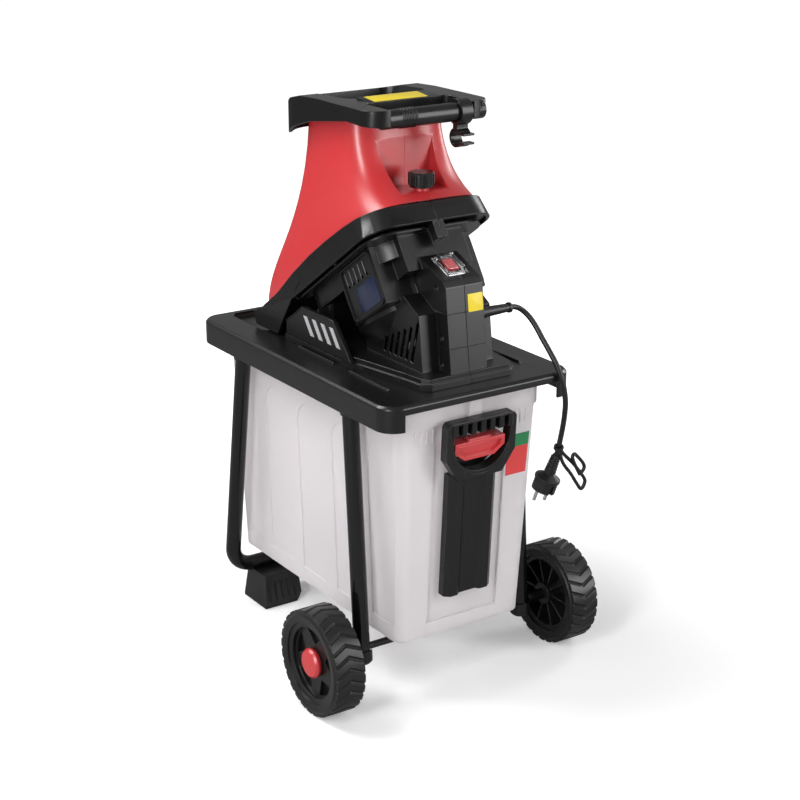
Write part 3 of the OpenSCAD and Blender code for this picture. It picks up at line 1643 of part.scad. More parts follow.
module plug() {
    rings = 6;
    color(black) on_plug() {
        cylinder(r1 = 5.4, r2 = 7, h = relief_l);
        for (i = [0:rings - 1]) translate([0, 0, 3 + i * 4.4]) cylinder(r = 7 + 0.3 * i, h = 2.4);
        translate([0, 0, relief_l - eps]) cylinder(r1 = 8, r2 = 17, h = 6);
        translate([0, 0, relief_l + 6 - 2 * eps]) cylinder(r = 18.5, h = 4);
        difference() {
            translate([0, 0, relief_l + 10 - 3 * eps]) cylinder(r = 17, h = 17);
            for (side = [-1, 1]) translate([-2.5, side * 17 - 3, relief_l + 13]) cube([5, 6, 16]);
        }
    }
}

module plug_pins() {
    color(steel) on_plug() for (x = [-9.5, 9.5]) translate([x, 0, relief_l + 27]) cylinder(r = 2.4, h = 17);
}

// Wire tie, wound round the cord just above the plug
module cord_tie() {
    up = unit(cord_route[len(cord_route) - 3] - plug_start);
    color(black) translate(tie_at) rotate([0, acos(up[2]), atan2(up[1], up[0])]) difference() {
        cylinder(r = cord_d / 2 + 3.2, h = 5, center = true);
        cylinder(r = cord_d / 2 + 0.9, h = 8, center = true);
    }
}

deck();
front_leg_left();
front_leg_right();
rear_leg_frame();
leg_screws();
leg_caps();
stand_foot();
foot_screws();
axle();
axle_spacers();
axle_push_nuts();
wheel_left();
wheel_right();
hub_cap_left();
hub_cap_right();
collection_box();
box_lock_slider();
interlock_switch();
pusher();
housing_left();
housing_right();
housing_screws();
stripe_inserts();
motor_shield_upper();
motor_shield_lower();
bearing_upper();
bearing_lower();
stator();
field_coils();
brush_holders();
rotor_core();
commutator();
motor_shaft();
cooling_fan();
knife_disc();
knives();
knife_screws();
disc_bolt();
counter_blade();
counter_blade_screws();
switch_body();
switch_rocker();
switch_cover();
hinge_pins();
hopper_rim_left();
hopper_rim_right();
hopper_shell_left();
hopper_shell_right();
hopper_screws();
feed_chute();
feed_collar();
lock_knob();
lock_stud();
cable_clip();
strain_relief();
power_cord();
plug();
plug_pins();
cord_tie();
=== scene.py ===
# %% [markdown]
# # A garden shredder, dressed for its portrait
#
# The shredder arrives as a imported frame of solids that already have their real sizes, their places and
# their joints. Here it gets its finishes and the small forms that a solid model leaves plain. We start
# by loading that frame, and nothing that we add may make the machine bigger.
# A lamp or a camera that is already in the file is removed, so that only our own ones count.

# %% Load the frame
import json
import math

import bmesh
import bpy
from mathutils import Matrix, Vector


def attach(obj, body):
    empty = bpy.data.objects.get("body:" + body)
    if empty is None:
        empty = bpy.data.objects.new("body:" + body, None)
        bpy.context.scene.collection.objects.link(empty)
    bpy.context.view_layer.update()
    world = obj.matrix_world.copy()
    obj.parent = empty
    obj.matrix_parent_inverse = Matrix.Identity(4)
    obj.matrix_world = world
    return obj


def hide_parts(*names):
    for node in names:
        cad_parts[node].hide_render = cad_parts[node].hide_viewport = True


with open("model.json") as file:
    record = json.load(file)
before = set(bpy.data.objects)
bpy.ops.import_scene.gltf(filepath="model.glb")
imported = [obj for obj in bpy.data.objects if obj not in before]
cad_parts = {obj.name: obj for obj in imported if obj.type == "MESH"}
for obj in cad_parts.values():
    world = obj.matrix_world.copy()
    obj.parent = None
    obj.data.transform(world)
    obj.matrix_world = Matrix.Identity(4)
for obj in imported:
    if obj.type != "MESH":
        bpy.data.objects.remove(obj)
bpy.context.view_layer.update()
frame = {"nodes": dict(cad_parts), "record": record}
nodes = frame["nodes"]
scene = bpy.context.scene
scene.view_settings.view_transform = "Standard"
for leftover in [o for o in scene.objects if o.type in {"LIGHT", "CAMERA"}]:
    bpy.data.objects.remove(leftover)

# %% [markdown]
# ## The camera
#
# The machine is seen from the front left and a little from above, through a fairly long lens. The lens,
# the angles and the distance were fitted to the edges of the deck, the wheels and the box. A target
# empty with a constraint could aim the camera; turning the view direction into a rotation is shorter and
# leaves no helper in the scene.

# %% Camera
AIM = Vector((0.0375, 0.0, 0.3556))
AZIMUTH = math.radians(-33.8)
ELEVATION = math.radians(19.09)
DISTANCE = 2.5612
LENS = 79.27
SENSOR_WIDTH = 36.0


def linked(name, data):
    """A new object on some data, linked to the scene."""
    made = bpy.data.objects.new(name, data)
    scene.collection.objects.link(made)
    return made


offset = Vector((
    math.sin(AZIMUTH) * math.cos(ELEVATION),
    -math.cos(AZIMUTH) * math.cos(ELEVATION),
    math.sin(ELEVATION),
))
camera_data = bpy.data.cameras.new("portrait_camera")
camera_data.lens = LENS
camera_data.sensor_width = SENSOR_WIDTH
camera = linked("portrait_camera", camera_data)
camera.location = AIM + DISTANCE * offset
camera.rotation_euler = (-offset).to_track_quat("-Z", "Y").to_euler()
scene.camera = camera
print("camera at", [round(v, 3) for v in camera.location])

# %% [markdown]
# ## Shared effects for the finishes
#
# Moulded plastic is never perfectly even: the tool leaves a fine grain, and the gloss drifts a little
# across a large face. Dust settles in patches and makes a colour slightly paler. On the milky box the same
# patches, bluish grey, are painted light and shade of the light that passes through its wall. The nodes
# could be copied into every material, but many finishes use these effects, so each is a node group with
# named inputs. A group puts out only values and colours, and the shader itself stays in each material.

# %% Node group helpers
def new_group(name, tree_type, inputs, outputs):
    """An empty node group with named sockets, and its two end nodes."""
    group = bpy.data.node_groups.new(name, tree_type)
    for label, kind, value in inputs:
        socket = group.interface.new_socket(label, in_out="INPUT", socket_type=kind)
        if value is not None:
            socket.default_value = value
    for label, kind in outputs:
        group.interface.new_socket(label, in_out="OUTPUT", socket_type=kind)
    return group, group.nodes.new("NodeGroupInput"), group.nodes.new("NodeGroupOutput")


def math_node(tree, operation, a, b):
    """A Math node whose two inputs are sockets or plain numbers."""
    node = tree.nodes.new("ShaderNodeMath")
    node.operation = operation
    for socket, value in zip(node.inputs, (a, b)):
        if isinstance(value, (int, float)):
            socket.default_value = value
        else:
            tree.links.new(value, socket)
    return node.outputs[0]


print("node group helpers are ready")

# %% Moulded grain: a height for a Bump node and an uneven roughness
grain, grain_in, grain_out = new_group(
    "moulded_grain", "ShaderNodeTree",
    [("Vector", "NodeSocketVector", None), ("Grain Scale", "NodeSocketFloat", 900.0),
     ("Roughness", "NodeSocketFloat", 0.45), ("Unevenness", "NodeSocketFloat", 0.08)],
    [("Height", "NodeSocketFloat"), ("Roughness", "NodeSocketFloat")],
)
fine = grain.nodes.new("ShaderNodeTexNoise")
fine.inputs["Detail"].default_value = 3.0
drift = grain.nodes.new("ShaderNodeTexNoise")
drift.inputs["Scale"].default_value = 14.0
drift.inputs["Detail"].default_value = 4.0
grain.links.new(grain_in.outputs["Vector"], fine.inputs["Vector"])
grain.links.new(grain_in.outputs["Grain Scale"], fine.inputs["Scale"])
grain.links.new(grain_in.outputs["Vector"], drift.inputs["Vector"])
grain.links.new(fine.outputs["Fac"], grain_out.inputs["Height"])
centred = math_node(grain, "SUBTRACT", drift.outputs["Fac"], 0.5)
swing = math_node(grain, "MULTIPLY", centred, grain_in.outputs["Unevenness"])
twice = math_node(grain, "MULTIPLY", swing, 2.0)
uneven = math_node(grain, "ADD", twice, grain_in.outputs["Roughness"])
grain.links.new(uneven, grain_out.inputs["Roughness"])
print("group:", grain.name)

# %% Dust and painted shade: patches of a second colour on some of the surface
dust_and_shade, dust_and_shade_in, dust_and_shade_out = new_group(
    "dust_and_painted_shade", "ShaderNodeTree",
    [("Vector", "NodeSocketVector", None), ("Color", "NodeSocketColor", (0.05, 0.05, 0.05, 1.0)),
     ("Dust And Shade Color", "NodeSocketColor", (0.2, 0.19, 0.18, 1.0)), ("Amount", "NodeSocketFloat", 0.05)],
    [("Color", "NodeSocketColor")],
)
cloud = dust_and_shade.nodes.new("ShaderNodeTexNoise")
cloud.inputs["Scale"].default_value = 9.0
cloud.inputs["Detail"].default_value = 8.0
cloud.inputs["Roughness"].default_value = 0.65
dust_and_shade.links.new(dust_and_shade_in.outputs["Vector"], cloud.inputs["Vector"])
weight = math_node(dust_and_shade, "MULTIPLY", cloud.outputs["Fac"], dust_and_shade_in.outputs["Amount"])
blend = dust_and_shade.nodes.new("ShaderNodeMix")
blend.data_type = "RGBA"
dust_and_shade.links.new(weight, blend.inputs["Factor"])
dust_and_shade.links.new(dust_and_shade_in.outputs["Color"], blend.inputs["A"])
dust_and_shade.links.new(dust_and_shade_in.outputs["Dust And Shade Color"], blend.inputs["B"])
dust_and_shade.links.new(blend.outputs["Result"], dust_and_shade_out.inputs["Color"])
print("group:", dust_and_shade.name)

# %% [markdown]
# ## The finishes
#
# Satin black mouldings, glossy black tubes, red mouldings, bright steel and soft cord rubber are all one
# Principled shader with different numbers. Each could be a material built by hand; one function that
# places both groups in front of the shader is shorter and keeps them alike. Constants go straight on the
# shader's own sockets. The axle is steel too, but blackened.

# %% One function for every solid finish
GRAIN_DEPTH = 0.001


def finish(name, color, roughness, grain_scale=900.0, bump=0.06, dust_and_shade_amount=0.05, metallic=0.0,
           dust_and_shade_color=(0.22, 0.21, 0.2), specular=0.5):
    """A material with grain, uneven gloss and patches of a second colour: a little dust, and on the milky
    box painted light and shade.
    """
    material = bpy.data.materials.new(name)
    material.use_nodes = True
    tree = material.node_tree
    shader = tree.nodes["Principled BSDF"]
    where = tree.nodes.new("ShaderNodeTexCoord")
    grains = tree.nodes.new("ShaderNodeGroup")
    grains.node_tree = grain
    grains.inputs["Grain Scale"].default_value = grain_scale
    grains.inputs["Roughness"].default_value = roughness
    dust_and_shade_node = tree.nodes.new("ShaderNodeGroup")
    dust_and_shade_node.node_tree = dust_and_shade
    dust_and_shade_node.inputs["Color"].default_value = (*color, 1.0)
    dust_and_shade_node.inputs["Dust And Shade Color"].default_value = (*dust_and_shade_color, 1.0)
    dust_and_shade_node.inputs["Amount"].default_value = dust_and_shade_amount
    relief = tree.nodes.new("ShaderNodeBump")
    relief.inputs["Strength"].default_value = bump
    relief.inputs["Distance"].default_value = GRAIN_DEPTH
    for group in (grains, dust_and_shade_node):
        tree.links.new(where.outputs["Object"], group.inputs["Vector"])
    tree.links.new(grains.outputs["Height"], relief.inputs["Height"])
    tree.links.new(relief.outputs["Normal"], shader.inputs["Normal"])
    tree.links.new(grains.outputs["Roughness"], shader.inputs["Roughness"])
    tree.links.new(dust_and_shade_node.outputs["Color"], shader.inputs["Base Color"])
    shader.inputs["Metallic"].default_value = metallic
    shader.inputs["Specular IOR Level"].default_value = specular
    return material


print("one function for the finishes is ready")

# %% Plastics and rubber
satin_black = finish("satin_black_plastic", (0.0045, 0.0045, 0.0047), 0.30, bump=0.08, dust_and_shade_amount=0.008)
wheel_black = finish("wheel_black_plastic", (0.006, 0.006, 0.0063), 0.34, bump=0.10, dust_and_shade_amount=0.012)
tube_black = finish("gloss_black_tube", (0.003, 0.003, 0.0032), 0.13, grain_scale=300.0, bump=0.02,
                    dust_and_shade_amount=0.005)
red_plastic = finish("red_plastic", (0.56, 0.026, 0.031), 0.32, dust_and_shade_amount=0.02,
                     dust_and_shade_color=(0.7, 0.3, 0.3), specular=0.9)
grey_plastic = finish("grey_plastic", (0.42, 0.42, 0.43), 0.45)
cord_rubber = finish("cord_rubber", (0.005, 0.005, 0.0055), 0.38, bump=0.08, dust_and_shade_amount=0.01)
print("plastics and rubber:", [m.name for m in bpy.data.materials])

# %% Metals
bright_steel = finish("bright_steel", (0.55, 0.56, 0.58), 0.28, grain_scale=600.0, bump=0.03,
                      dust_and_shade_amount=0.03, metallic=1.0)
cast_alloy = finish("cast_alloy", (0.5, 0.5, 0.51), 0.5, grain_scale=250.0, bump=0.2, metallic=1.0)
# The windings' colour is the dark brown of their enamel, darkened further as painted shade for windings
# that sit in shade behind the louvres.
copper = finish("copper_winding_with_painted_shade", (0.16, 0.06, 0.02), 0.4, grain_scale=200.0, bump=0.2, metallic=1.0)
dark_steel = finish("blackened_steel", (0.02, 0.02, 0.021), 0.3, bump=0.02, dust_and_shade_amount=0.01, metallic=0.6)
print("metals:", [m.name for m in (bright_steel, cast_alloy, copper, dark_steel)])

# %% [markdown]
# ## The frosted box and the clear cover
#
# The collection box is milky polypropylene: light gets in, scatters and comes out soft, and dark things
# behind a wall show as a blur. Real scattering is slow to render, so the wall is part rough transmission
# and part white plastic. The cover over the rocker is clear, so it is transmission only. After that every
# solid takes the finish of its own material slot.

# %% See-through finishes
def see_through(material, share, bend):
    """Let a share of the light through a finish, with its index of refraction."""
    shader = material.node_tree.nodes["Principled BSDF"]
    shader.inputs["Transmission Weight"].default_value = share
    shader.inputs["IOR"].default_value = bend


# The bluish-grey patches on this wall, given through the dust settings, are painted light and shade for the
# light that scatters through it, not dust.
milky = finish("milky_plastic", (0.93, 0.885, 0.89), 0.42, grain_scale=500.0, bump=0.04, dust_and_shade_amount=0.35,
               dust_and_shade_color=(0.70, 0.76, 0.80))
see_through(milky, share=0.55, bend=1.2)
clear_cover = finish("clear_cover", (0.9, 0.9, 0.92), 0.12, bump=0.02, dust_and_shade_amount=0.02,
                     dust_and_shade_color=(0.8, 0.8, 0.8))
see_through(clear_cover, share=1.0, bend=1.3)
print("see-through finishes:", milky.name, clear_cover.name)

# %% Give every solid its finish
FINISH_OF_SLOT = {
    "black_plastic": satin_black, "black_tube": tube_black, "wheel_plastic": wheel_black,
    "red_plastic": red_plastic, "milky_plastic": milky, "clear_plastic": clear_cover,
    "grey_plastic": grey_plastic, "steel": bright_steel, "aluminium": cast_alloy, "copper": copper,
    "cord_rubber": cord_rubber,
}
slot_of_node = {part["node"]: part["material_slot"] for part in frame["record"]["subparts"]}
for name, solid in nodes.items():
    solid.data.materials.clear()
    solid.data.materials.append(FINISH_OF_SLOT[slot_of_node[name]])
nodes["axle"].data.materials[0] = dark_steel
print("finished solids:", len(nodes))

# %% [markdown]
# ## Soft edges
#
# A moulded edge is never sharp: the tool has a small radius, and that radius catches a thin line of light.
# The solids that show most each get a copy whose loose triangles are joined, whose flat faces are made
# whole and whose sharp edges are rounded a little. The copy stands for the solid, on the same body. A
# bevel modifier on the solid itself would not find its edges, because its triangles share no corners.
#
# The deck, the collar and the hopper's shells keep their triangles, because a face made whole there can
# reach across a notch or from rib to rib. On the deck only the outer edges are rounded, which are the
# ones that catch the light. The lock's tongue shows no red above its handle, so its upper faces take the
# box's milky finish.

# %% Rounding and shading
def smooth_mesh(data, sharp_angle):
    """Smooth shading, parted at the edges that turn by more than an angle in degrees."""
    data.shade_smooth()
    data.set_sharp_from_angle(angle=math.radians(sharp_angle))


def rounded(mesh, width, angle, outer_only=False):
    """Round the edges of a bmesh that turn by more than an angle in degrees."""
    limit = math.radians(angle)
    sharp = [e for e in mesh.edges if len(e.link_faces) == 2 and e.calc_face_angle(0.0) > limit
             and not (outer_only and e.calc_face_angle_signed(0.0) < 0.0)]
    bmesh.ops.bevel(mesh, geom=sharp, offset=width, offset_type="OFFSET", segments=2, profile=0.5,
                    affect="EDGES", clamp_overlap=False, loop_slide=True)


def evaluated_mesh(piece):
    """The mesh that a piece has after its modifiers."""
    return bpy.data.meshes.new_from_object(piece.evaluated_get(bpy.context.evaluated_depsgraph_get()))


def weighted(piece):
    """Give a piece normals that favour its large faces."""
    modifier = piece.modifiers.new("weighted", "WEIGHTED_NORMAL")
    modifier.keep_sharp = True
    modifier.weight = 60
    made = evaluated_mesh(piece)
    piece.modifiers.clear()
    old = piece.data
    piece.data = made
    bpy.data.meshes.remove(old)


print("rounding and shading are ready")

# %% One soft copy
JOIN_DISTANCE = 3e-6
SLIVER = 2e-5
FLAT_ANGLE = math.radians(0.6)
ROUND_FROM = 28.0
SHARP_FROM = 38.0
KEEP_TRIANGLES = {"deck", "feed_collar", "hopper_shell_left", "hopper_shell_right"}
OUTER_ONLY = {"deck"}
body_of_node = {n: body for body, names in frame["record"]["behaviour"]["bodies"].items() for n in names}


def soft_copy(name, width):
    """A copy of one solid with rounded edges, which stands for the solid and stays within its box."""
    source = nodes[name]
    mesh = bmesh.new()
    mesh.from_mesh(source.data)
    bmesh.ops.remove_doubles(mesh, verts=mesh.verts, dist=JOIN_DISTANCE)
    low = [min(v.co[i] for v in mesh.verts) for i in range(3)]
    high = [max(v.co[i] for v in mesh.verts) for i in range(3)]
    bmesh.ops.dissolve_degenerate(mesh, edges=mesh.edges, dist=SLIVER)
    if name not in KEEP_TRIANGLES:
        bmesh.ops.dissolve_limit(mesh, angle_limit=FLAT_ANGLE, verts=mesh.verts, edges=mesh.edges)
    if width > 0.0:
        rounded(mesh, width, ROUND_FROM, outer_only=name in OUTER_ONLY)
    bmesh.ops.triangulate(mesh, faces=[f for f in mesh.faces if len(f.verts) > 4])
    for v in mesh.verts:
        v.co = [min(max(c, a), b) for c, a, b in zip(v.co, low, high)]
    data = bpy.data.meshes.new("soft_" + name)
    mesh.to_mesh(data)
    mesh.free()
    for material in source.data.materials:
        data.materials.append(material)
    smooth_mesh(data, SHARP_FROM)
    piece = linked("soft_" + name, data)
    weighted(piece)
    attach(piece, body_of_node[name])
    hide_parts(name)
    return piece


print("solids on bodies:", len(body_of_node))

# %% Soft copies, each with the radius of its edges
EDGE_WIDTH = {
    "deck": 0.0012, "hopper_rim_left": 0.001, "hopper_rim_right": 0.001, "hopper_shell_left": 0.0004,
    "hopper_shell_right": 0.0004, "feed_collar": 0.0008, "housing_left": 0.0007, "housing_right": 0.0007,
    "collection_box": 0.0006, "box_lock_slider": 0.0007, "pusher": 0.0007, "wheel_left": 0.0006,
    "wheel_right": 0.0006, "hub_cap_left": 0.0006, "hub_cap_right": 0.0006, "lock_knob": 0.0004,
    "cable_clip": 0.0005, "stand_foot": 0.0008, "leg_caps": 0.0005, "plug": 0.0004, "strain_relief": 0.0004,
    "switch_rocker": 0.0004, "switch_cover": 0.0003, "stripe_inserts": 0.0002, "front_leg_left": 0.0,
    "front_leg_right": 0.0, "rear_leg_frame": 0.0, "axle_spacers": 0.0003, "plug_pins": 0.0004,
    "cord_tie": 0.0004, "feed_chute": 0.0004,
}
soft_pieces = {name: soft_copy(name, width) for name, width in EDGE_WIDTH.items()}
print("soft copies:", len(soft_pieces), "faces:", sum(len(p.data.polygons) for p in soft_pieces.values()))

# %% Milky tongue above the lock's handle
TONGUE_FOOT = 0.396
slider = soft_pieces["box_lock_slider"].data
slider.materials.append(milky)
tongue = [face for face in slider.polygons if face.center.z > TONGUE_FOOT]
for face in tongue:
    face.material_index = 1
print("tongue faces:", len(tongue))

# %% [markdown]
# ## Tools for small forms
#
# Ribs, plates and beads are small prisms and thin round lines. Two geometry node groups do the work that
# repeats: one sets copies of a form in a row, and one sweeps a round bead along a path. A loop in Python
# could copy the form as well, but the group keeps count and step as inputs that anyone can change.

# %% Outlines, prisms and frames
SIDES = (-1, 1)
CORNER_STEPS = 4


def round_rect(x0, y0, x1, y1, r):
    """Outline of a rectangle with round corners, counterclockwise."""
    corners = ((x1 - r, y1 - r, 0), (x0 + r, y1 - r, 90), (x0 + r, y0 + r, 180), (x1 - r, y0 + r, 270))
    points = []
    for cx, cy, turn in corners:
        for k in range(CORNER_STEPS + 1):
            a = math.radians(turn + 90.0 * k / CORNER_STEPS)
            points.append((cx + r * math.cos(a), cy + r * math.sin(a)))
    return points


def add_prism(mesh, outline, low, high, place):
    """Add a prism on an outline to a bmesh, between two heights of a frame."""
    base = [mesh.verts.new(place @ Vector((x, y, low))) for x, y in outline]
    top = [mesh.verts.new(place @ Vector((x, y, high))) for x, y in outline]
    mesh.faces.new(base[::-1])
    mesh.faces.new(top)
    for i in range(len(base)):
        j = (i + 1) % len(base)
        mesh.faces.new((base[i], base[j], top[j], top[i]))


def add_ring(mesh, outer, inner, low, high, place):
    """Add a flat frame between two outlines of the same point count."""
    rows = [[mesh.verts.new(place @ Vector((x, y, z))) for x, y in line]
            for line, z in ((outer, low), (outer, high), (inner, high), (inner, low))]
    for a, b in zip(rows, rows[1:] + rows[:1]):
        for i in range(len(a)):
            j = (i + 1) % len(a)
            mesh.faces.new((a[i], a[j], b[j], b[i]))


print("outlines, prisms and frames are ready")

# %% From a bmesh to a finished piece
PIECE_ROUND_FROM = 35.0
PIECE_SHARP_FROM = 40.0
BEAD_SHARP_FROM = 60.0
FINE_LINE = 0.0005


def settled(name, data, body):
    """A finished mesh as a piece that rides a body."""
    piece = linked(name, data)
    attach(piece, body)
    return piece


def add_piece(name, mesh, body, material, edge):
    """Turn a bmesh into a piece, with its edges rounded by a width."""
    bmesh.ops.recalc_face_normals(mesh, faces=mesh.faces)
    if edge > 0.0:
        rounded(mesh, edge, PIECE_ROUND_FROM)
    data = bpy.data.meshes.new(name)
    mesh.to_mesh(data)
    mesh.free()
    data.materials.append(material)
    smooth_mesh(data, PIECE_SHARP_FROM)
    return settled(name, data, body)


print("pieces can be made from a bmesh")

# %% Places of the motor's slope, the box front and a side wall
SLOPE_HEIGHT = 0.558
SLOPE_TILT = math.radians(-34.0)
BOX_TOP_Y = -0.228
BOX_TOP_Z = 0.404
BOX_LEAN = math.radians(3.5)
SLOPE = Matrix.Translation((0.0, 0.0, SLOPE_HEIGHT)) @ Matrix.Rotation(SLOPE_TILT, 4, "X")
BOX_FRONT = Matrix.Translation((0.0, BOX_TOP_Y, BOX_TOP_Z)) @ Matrix.Rotation(BOX_LEAN, 4, "X")
OUTWARD_FRONT = Matrix(((1, 0, 0, 0), (0, 0, -1, 0), (0, 1, 0, 0), (0, 0, 0, 1)))


def side_frame(side, half_width):
    """Place of a wall half a width from the middle: along Y, up Z, outwards."""
    return Matrix(((0, 0, side, side * half_width), (1, 0, 0, 0), (0, 1, 0, 0), (0, 0, 0, 1)))


print("places of the slope, the box front and the side walls are set")

# %% Geometry node group: copies in a row
row, row_in, row_out = new_group(
    "row_of_copies", "GeometryNodeTree",
    [("Geometry", "NodeSocketGeometry", None), ("Count", "NodeSocketInt", None),
     ("Step", "NodeSocketVector", None), ("Material", "NodeSocketMaterial", None)],
    [("Geometry", "NodeSocketGeometry")],
)
row_line = row.nodes.new("GeometryNodeMeshLine")
row_line.mode = "OFFSET"
copies = row.nodes.new("GeometryNodeInstanceOnPoints")
real = row.nodes.new("GeometryNodeRealizeInstances")
row_paint = row.nodes.new("GeometryNodeSetMaterial")
row.links.new(row_in.outputs["Count"], row_line.inputs["Count"])
row.links.new(row_in.outputs["Step"], row_line.inputs["Offset"])
row.links.new(row_line.outputs["Mesh"], copies.inputs["Points"])
row.links.new(row_in.outputs["Geometry"], copies.inputs["Instance"])
row.links.new(copies.outputs["Instances"], real.inputs["Geometry"])
row.links.new(real.outputs["Geometry"], row_paint.inputs["Geometry"])
row.links.new(row_in.outputs["Material"], row_paint.inputs["Material"])
row.links.new(row_paint.outputs["Geometry"], row_out.inputs["Geometry"])
print("group:", row.name)

# %% Geometry node group: a round bead along a path
BEAD_SIDES = 8
bead, bead_in, bead_out = new_group(
    "bead_on_path", "GeometryNodeTree",
    [("Geometry", "NodeSocketGeometry", None), ("Radius", "NodeSocketFloat", None),
     ("Material", "NodeSocketMaterial", None)],
    [("Geometry", "NodeSocketGeometry")],
)
to_curve = bead.nodes.new("GeometryNodeMeshToCurve")
ring_curve = bead.nodes.new("GeometryNodeCurvePrimitiveCircle")
ring_curve.inputs["Resolution"].default_value = BEAD_SIDES
swept = bead.nodes.new("GeometryNodeCurveToMesh")
swept.inputs["Fill Caps"].default_value = True
bead_paint = bead.nodes.new("GeometryNodeSetMaterial")
bead.links.new(bead_in.outputs["Geometry"], to_curve.inputs["Mesh"])
bead.links.new(to_curve.outputs["Curve"], swept.inputs["Curve"])
bead.links.new(bead_in.outputs["Radius"], ring_curve.inputs["Radius"])
bead.links.new(ring_curve.outputs["Curve"], swept.inputs["Profile Curve"])
bead.links.new(swept.outputs["Mesh"], bead_paint.inputs["Geometry"])
bead.links.new(bead_in.outputs["Material"], bead_paint.inputs["Material"])
bead.links.new(bead_paint.outputs["Geometry"], bead_out.inputs["Geometry"])
print("group:", bead.name)

# %% Run a group on a mesh and keep the result as one mesh
def run_group(name, source, group, values, place, body, sharp_angle):
    """Apply a geometry node group to a mesh, move the result to its place and let it ride a body."""
    carrier = linked(name + "_source", source)
    modifier = carrier.modifiers.new(group.name, "NODES")
    modifier.node_group = group
    for item in group.interface.items_tree:
        if item.in_out == "INPUT" and item.name in values:
            modifier[item.identifier] = values[item.name]
    bpy.context.view_layer.update()
    made = evaluated_mesh(carrier)
    bpy.data.objects.remove(carrier)
    made.name = name
    made.transform(place)
    turned = bmesh.new()
    turned.from_mesh(made)
    bmesh.ops.recalc_face_normals(turned, faces=turned.faces)
    turned.to_mesh(made)
    turned.free()
    smooth_mesh(made, sharp_angle)
    return settled(name, made, body)


def beads(name, paths, radius, material, body):
    """Round lines along some open paths of points."""
    points = []
    edges = []
    for path in paths:
        first = len(points)
        points.extend(tuple(p) for p in path)
        edges.extend((first + i, first + i + 1) for i in range(len(path) - 1))
    data = bpy.data.meshes.new(name + "_path")
    data.from_pydata(points, edges, [])
    values = {"Radius": radius, "Material": material}
    return run_group(name, data, bead, values, Matrix.Identity(4), body, BEAD_SHARP_FROM)


def row_of(name, mesh, count, step, material, place, body):
    """Copies of a bmesh in a row."""
    data = bpy.data.meshes.new(name + "_one")
    mesh.to_mesh(data)
    mesh.free()
    values = {"Count": count, "Step": step, "Material": material}
    return run_group(name, data, row, values, place, body, PIECE_SHARP_FROM)


print("small form tools are ready")

# %% [markdown]
# ## Motor body details
#
# Each side of the motor body has a framed panel with a blank plate below its slots. A bead runs along the
# top of each wing and of the base's lip, and paired lines cross the base. On the real machine they are all
# part of the moulding. Separate small forms are simpler to adjust than one large moulding, and they sit
# on the solid without changing it.

# %% Side panels with a blank plate
PANEL_HALF = 0.081
FRAME_OUTSIDE = round_rect(-0.1175, -0.0825, -0.0295, -0.0045, 0.009)
FRAME_INSIDE = round_rect(-0.1140, -0.0790, -0.0345, -0.0080, 0.0065)
PLATE = round_rect(-0.1115, -0.0765, -0.0560, -0.0400, 0.005)
PANEL_SUNK = -0.0005
FRAME_LIFT = 0.0022
PLATE_LIFT = 0.0009
plate_dark = finish("blank_plate", (0.010, 0.016, 0.045), 0.22, grain_scale=1200.0, bump=0.02,
                    dust_and_shade_amount=0.01)
frames = bmesh.new()
plates = bmesh.new()
for side in SIDES:
    wall = SLOPE @ side_frame(side, PANEL_HALF)
    add_ring(frames, FRAME_OUTSIDE, FRAME_INSIDE, PANEL_SUNK, FRAME_LIFT, wall)
    add_prism(plates, PLATE, PANEL_SUNK, PLATE_LIFT, wall)
panel_frames = add_piece("panel_frames", frames, "stand", satin_black, edge=0.0007)
blank_plates = add_piece("blank_plates", plates, "stand", plate_dark, edge=0.0003)
print("panels:", panel_frames.name, blank_plates.name)

# %% Beads on the wings and on the base's lip
WING_HALF = 0.104
WING_TOP = [(-0.0905, 0.4625), (-0.083, 0.4725), (-0.067, 0.4885), (-0.049, 0.5085), (-0.044, 0.5100),
            (0.0355, 0.5100), (0.0575, 0.4940), (0.0785, 0.4810)]
BASE_CORNERS = [(-0.190, 0.079), (-0.112, 0.093), (-0.062, WING_HALF)]
LIP_INSET = 0.003
LIP_HEIGHT = 0.4668
LIP_Y = (-0.062, -0.112, -0.150, -0.188)
WING_BEAD = 0.0011


def base_half_width(y):
    """Half width of the motor body's base lip at a place along its side."""
    for (y0, w0), (y1, w1) in zip(BASE_CORNERS, BASE_CORNERS[1:]):
        if y <= y1:
            return w0 + (w1 - w0) * (y - y0) / (y1 - y0)
    return WING_HALF


wing_paths = [[Vector((side * WING_HALF, y, z)) for y, z in WING_TOP] for side in SIDES]
wing_paths += [[Vector((side * (base_half_width(y) - LIP_INSET), y, LIP_HEIGHT)) for y in LIP_Y]
               for side in SIDES]
wing_beads = beads("wing_beads", wing_paths, WING_BEAD, satin_black, "stand")
print("beads:", wing_beads.name)

# %% Paired lines on the base
PAIR_Y = (-0.102, -0.107, -0.170, -0.175)
PAIR_PROFILE = ((0.0, 0.4525), (0.0, 0.4600), (LIP_INSET, 0.4602), (LIP_INSET, 0.4670))
pair_paths = []
for side in SIDES:
    for y in PAIR_Y:
        half = base_half_width(y)
        pair_paths.append([Vector((side * (half - inset), y, z)) for inset, z in PAIR_PROFILE])
base_lines = beads("base_lines", pair_paths, FINE_LINE, satin_black, "stand")
print("lines:", base_lines.name)

# %% [markdown]
# ## Switch box details
#
# Two lines run round the switch box where its mould parts meet, and a blank yellow patch is stuck on its
# front. The patch could be a colour painted on the face, but a thin prism has an edge that catches a
# little light, so it reads as something stuck on.

# %% Lines round the switch box
SWITCH_HALF = 0.0300
SWITCH_BACK = -0.168
SWITCH_FOOT_Y = -0.221
SWITCH_FOOT_Z = 0.467
SWITCH_LEAN = 0.014
SWITCH_RISE = 0.114
LINE_HEIGHTS = (0.500, 0.546)


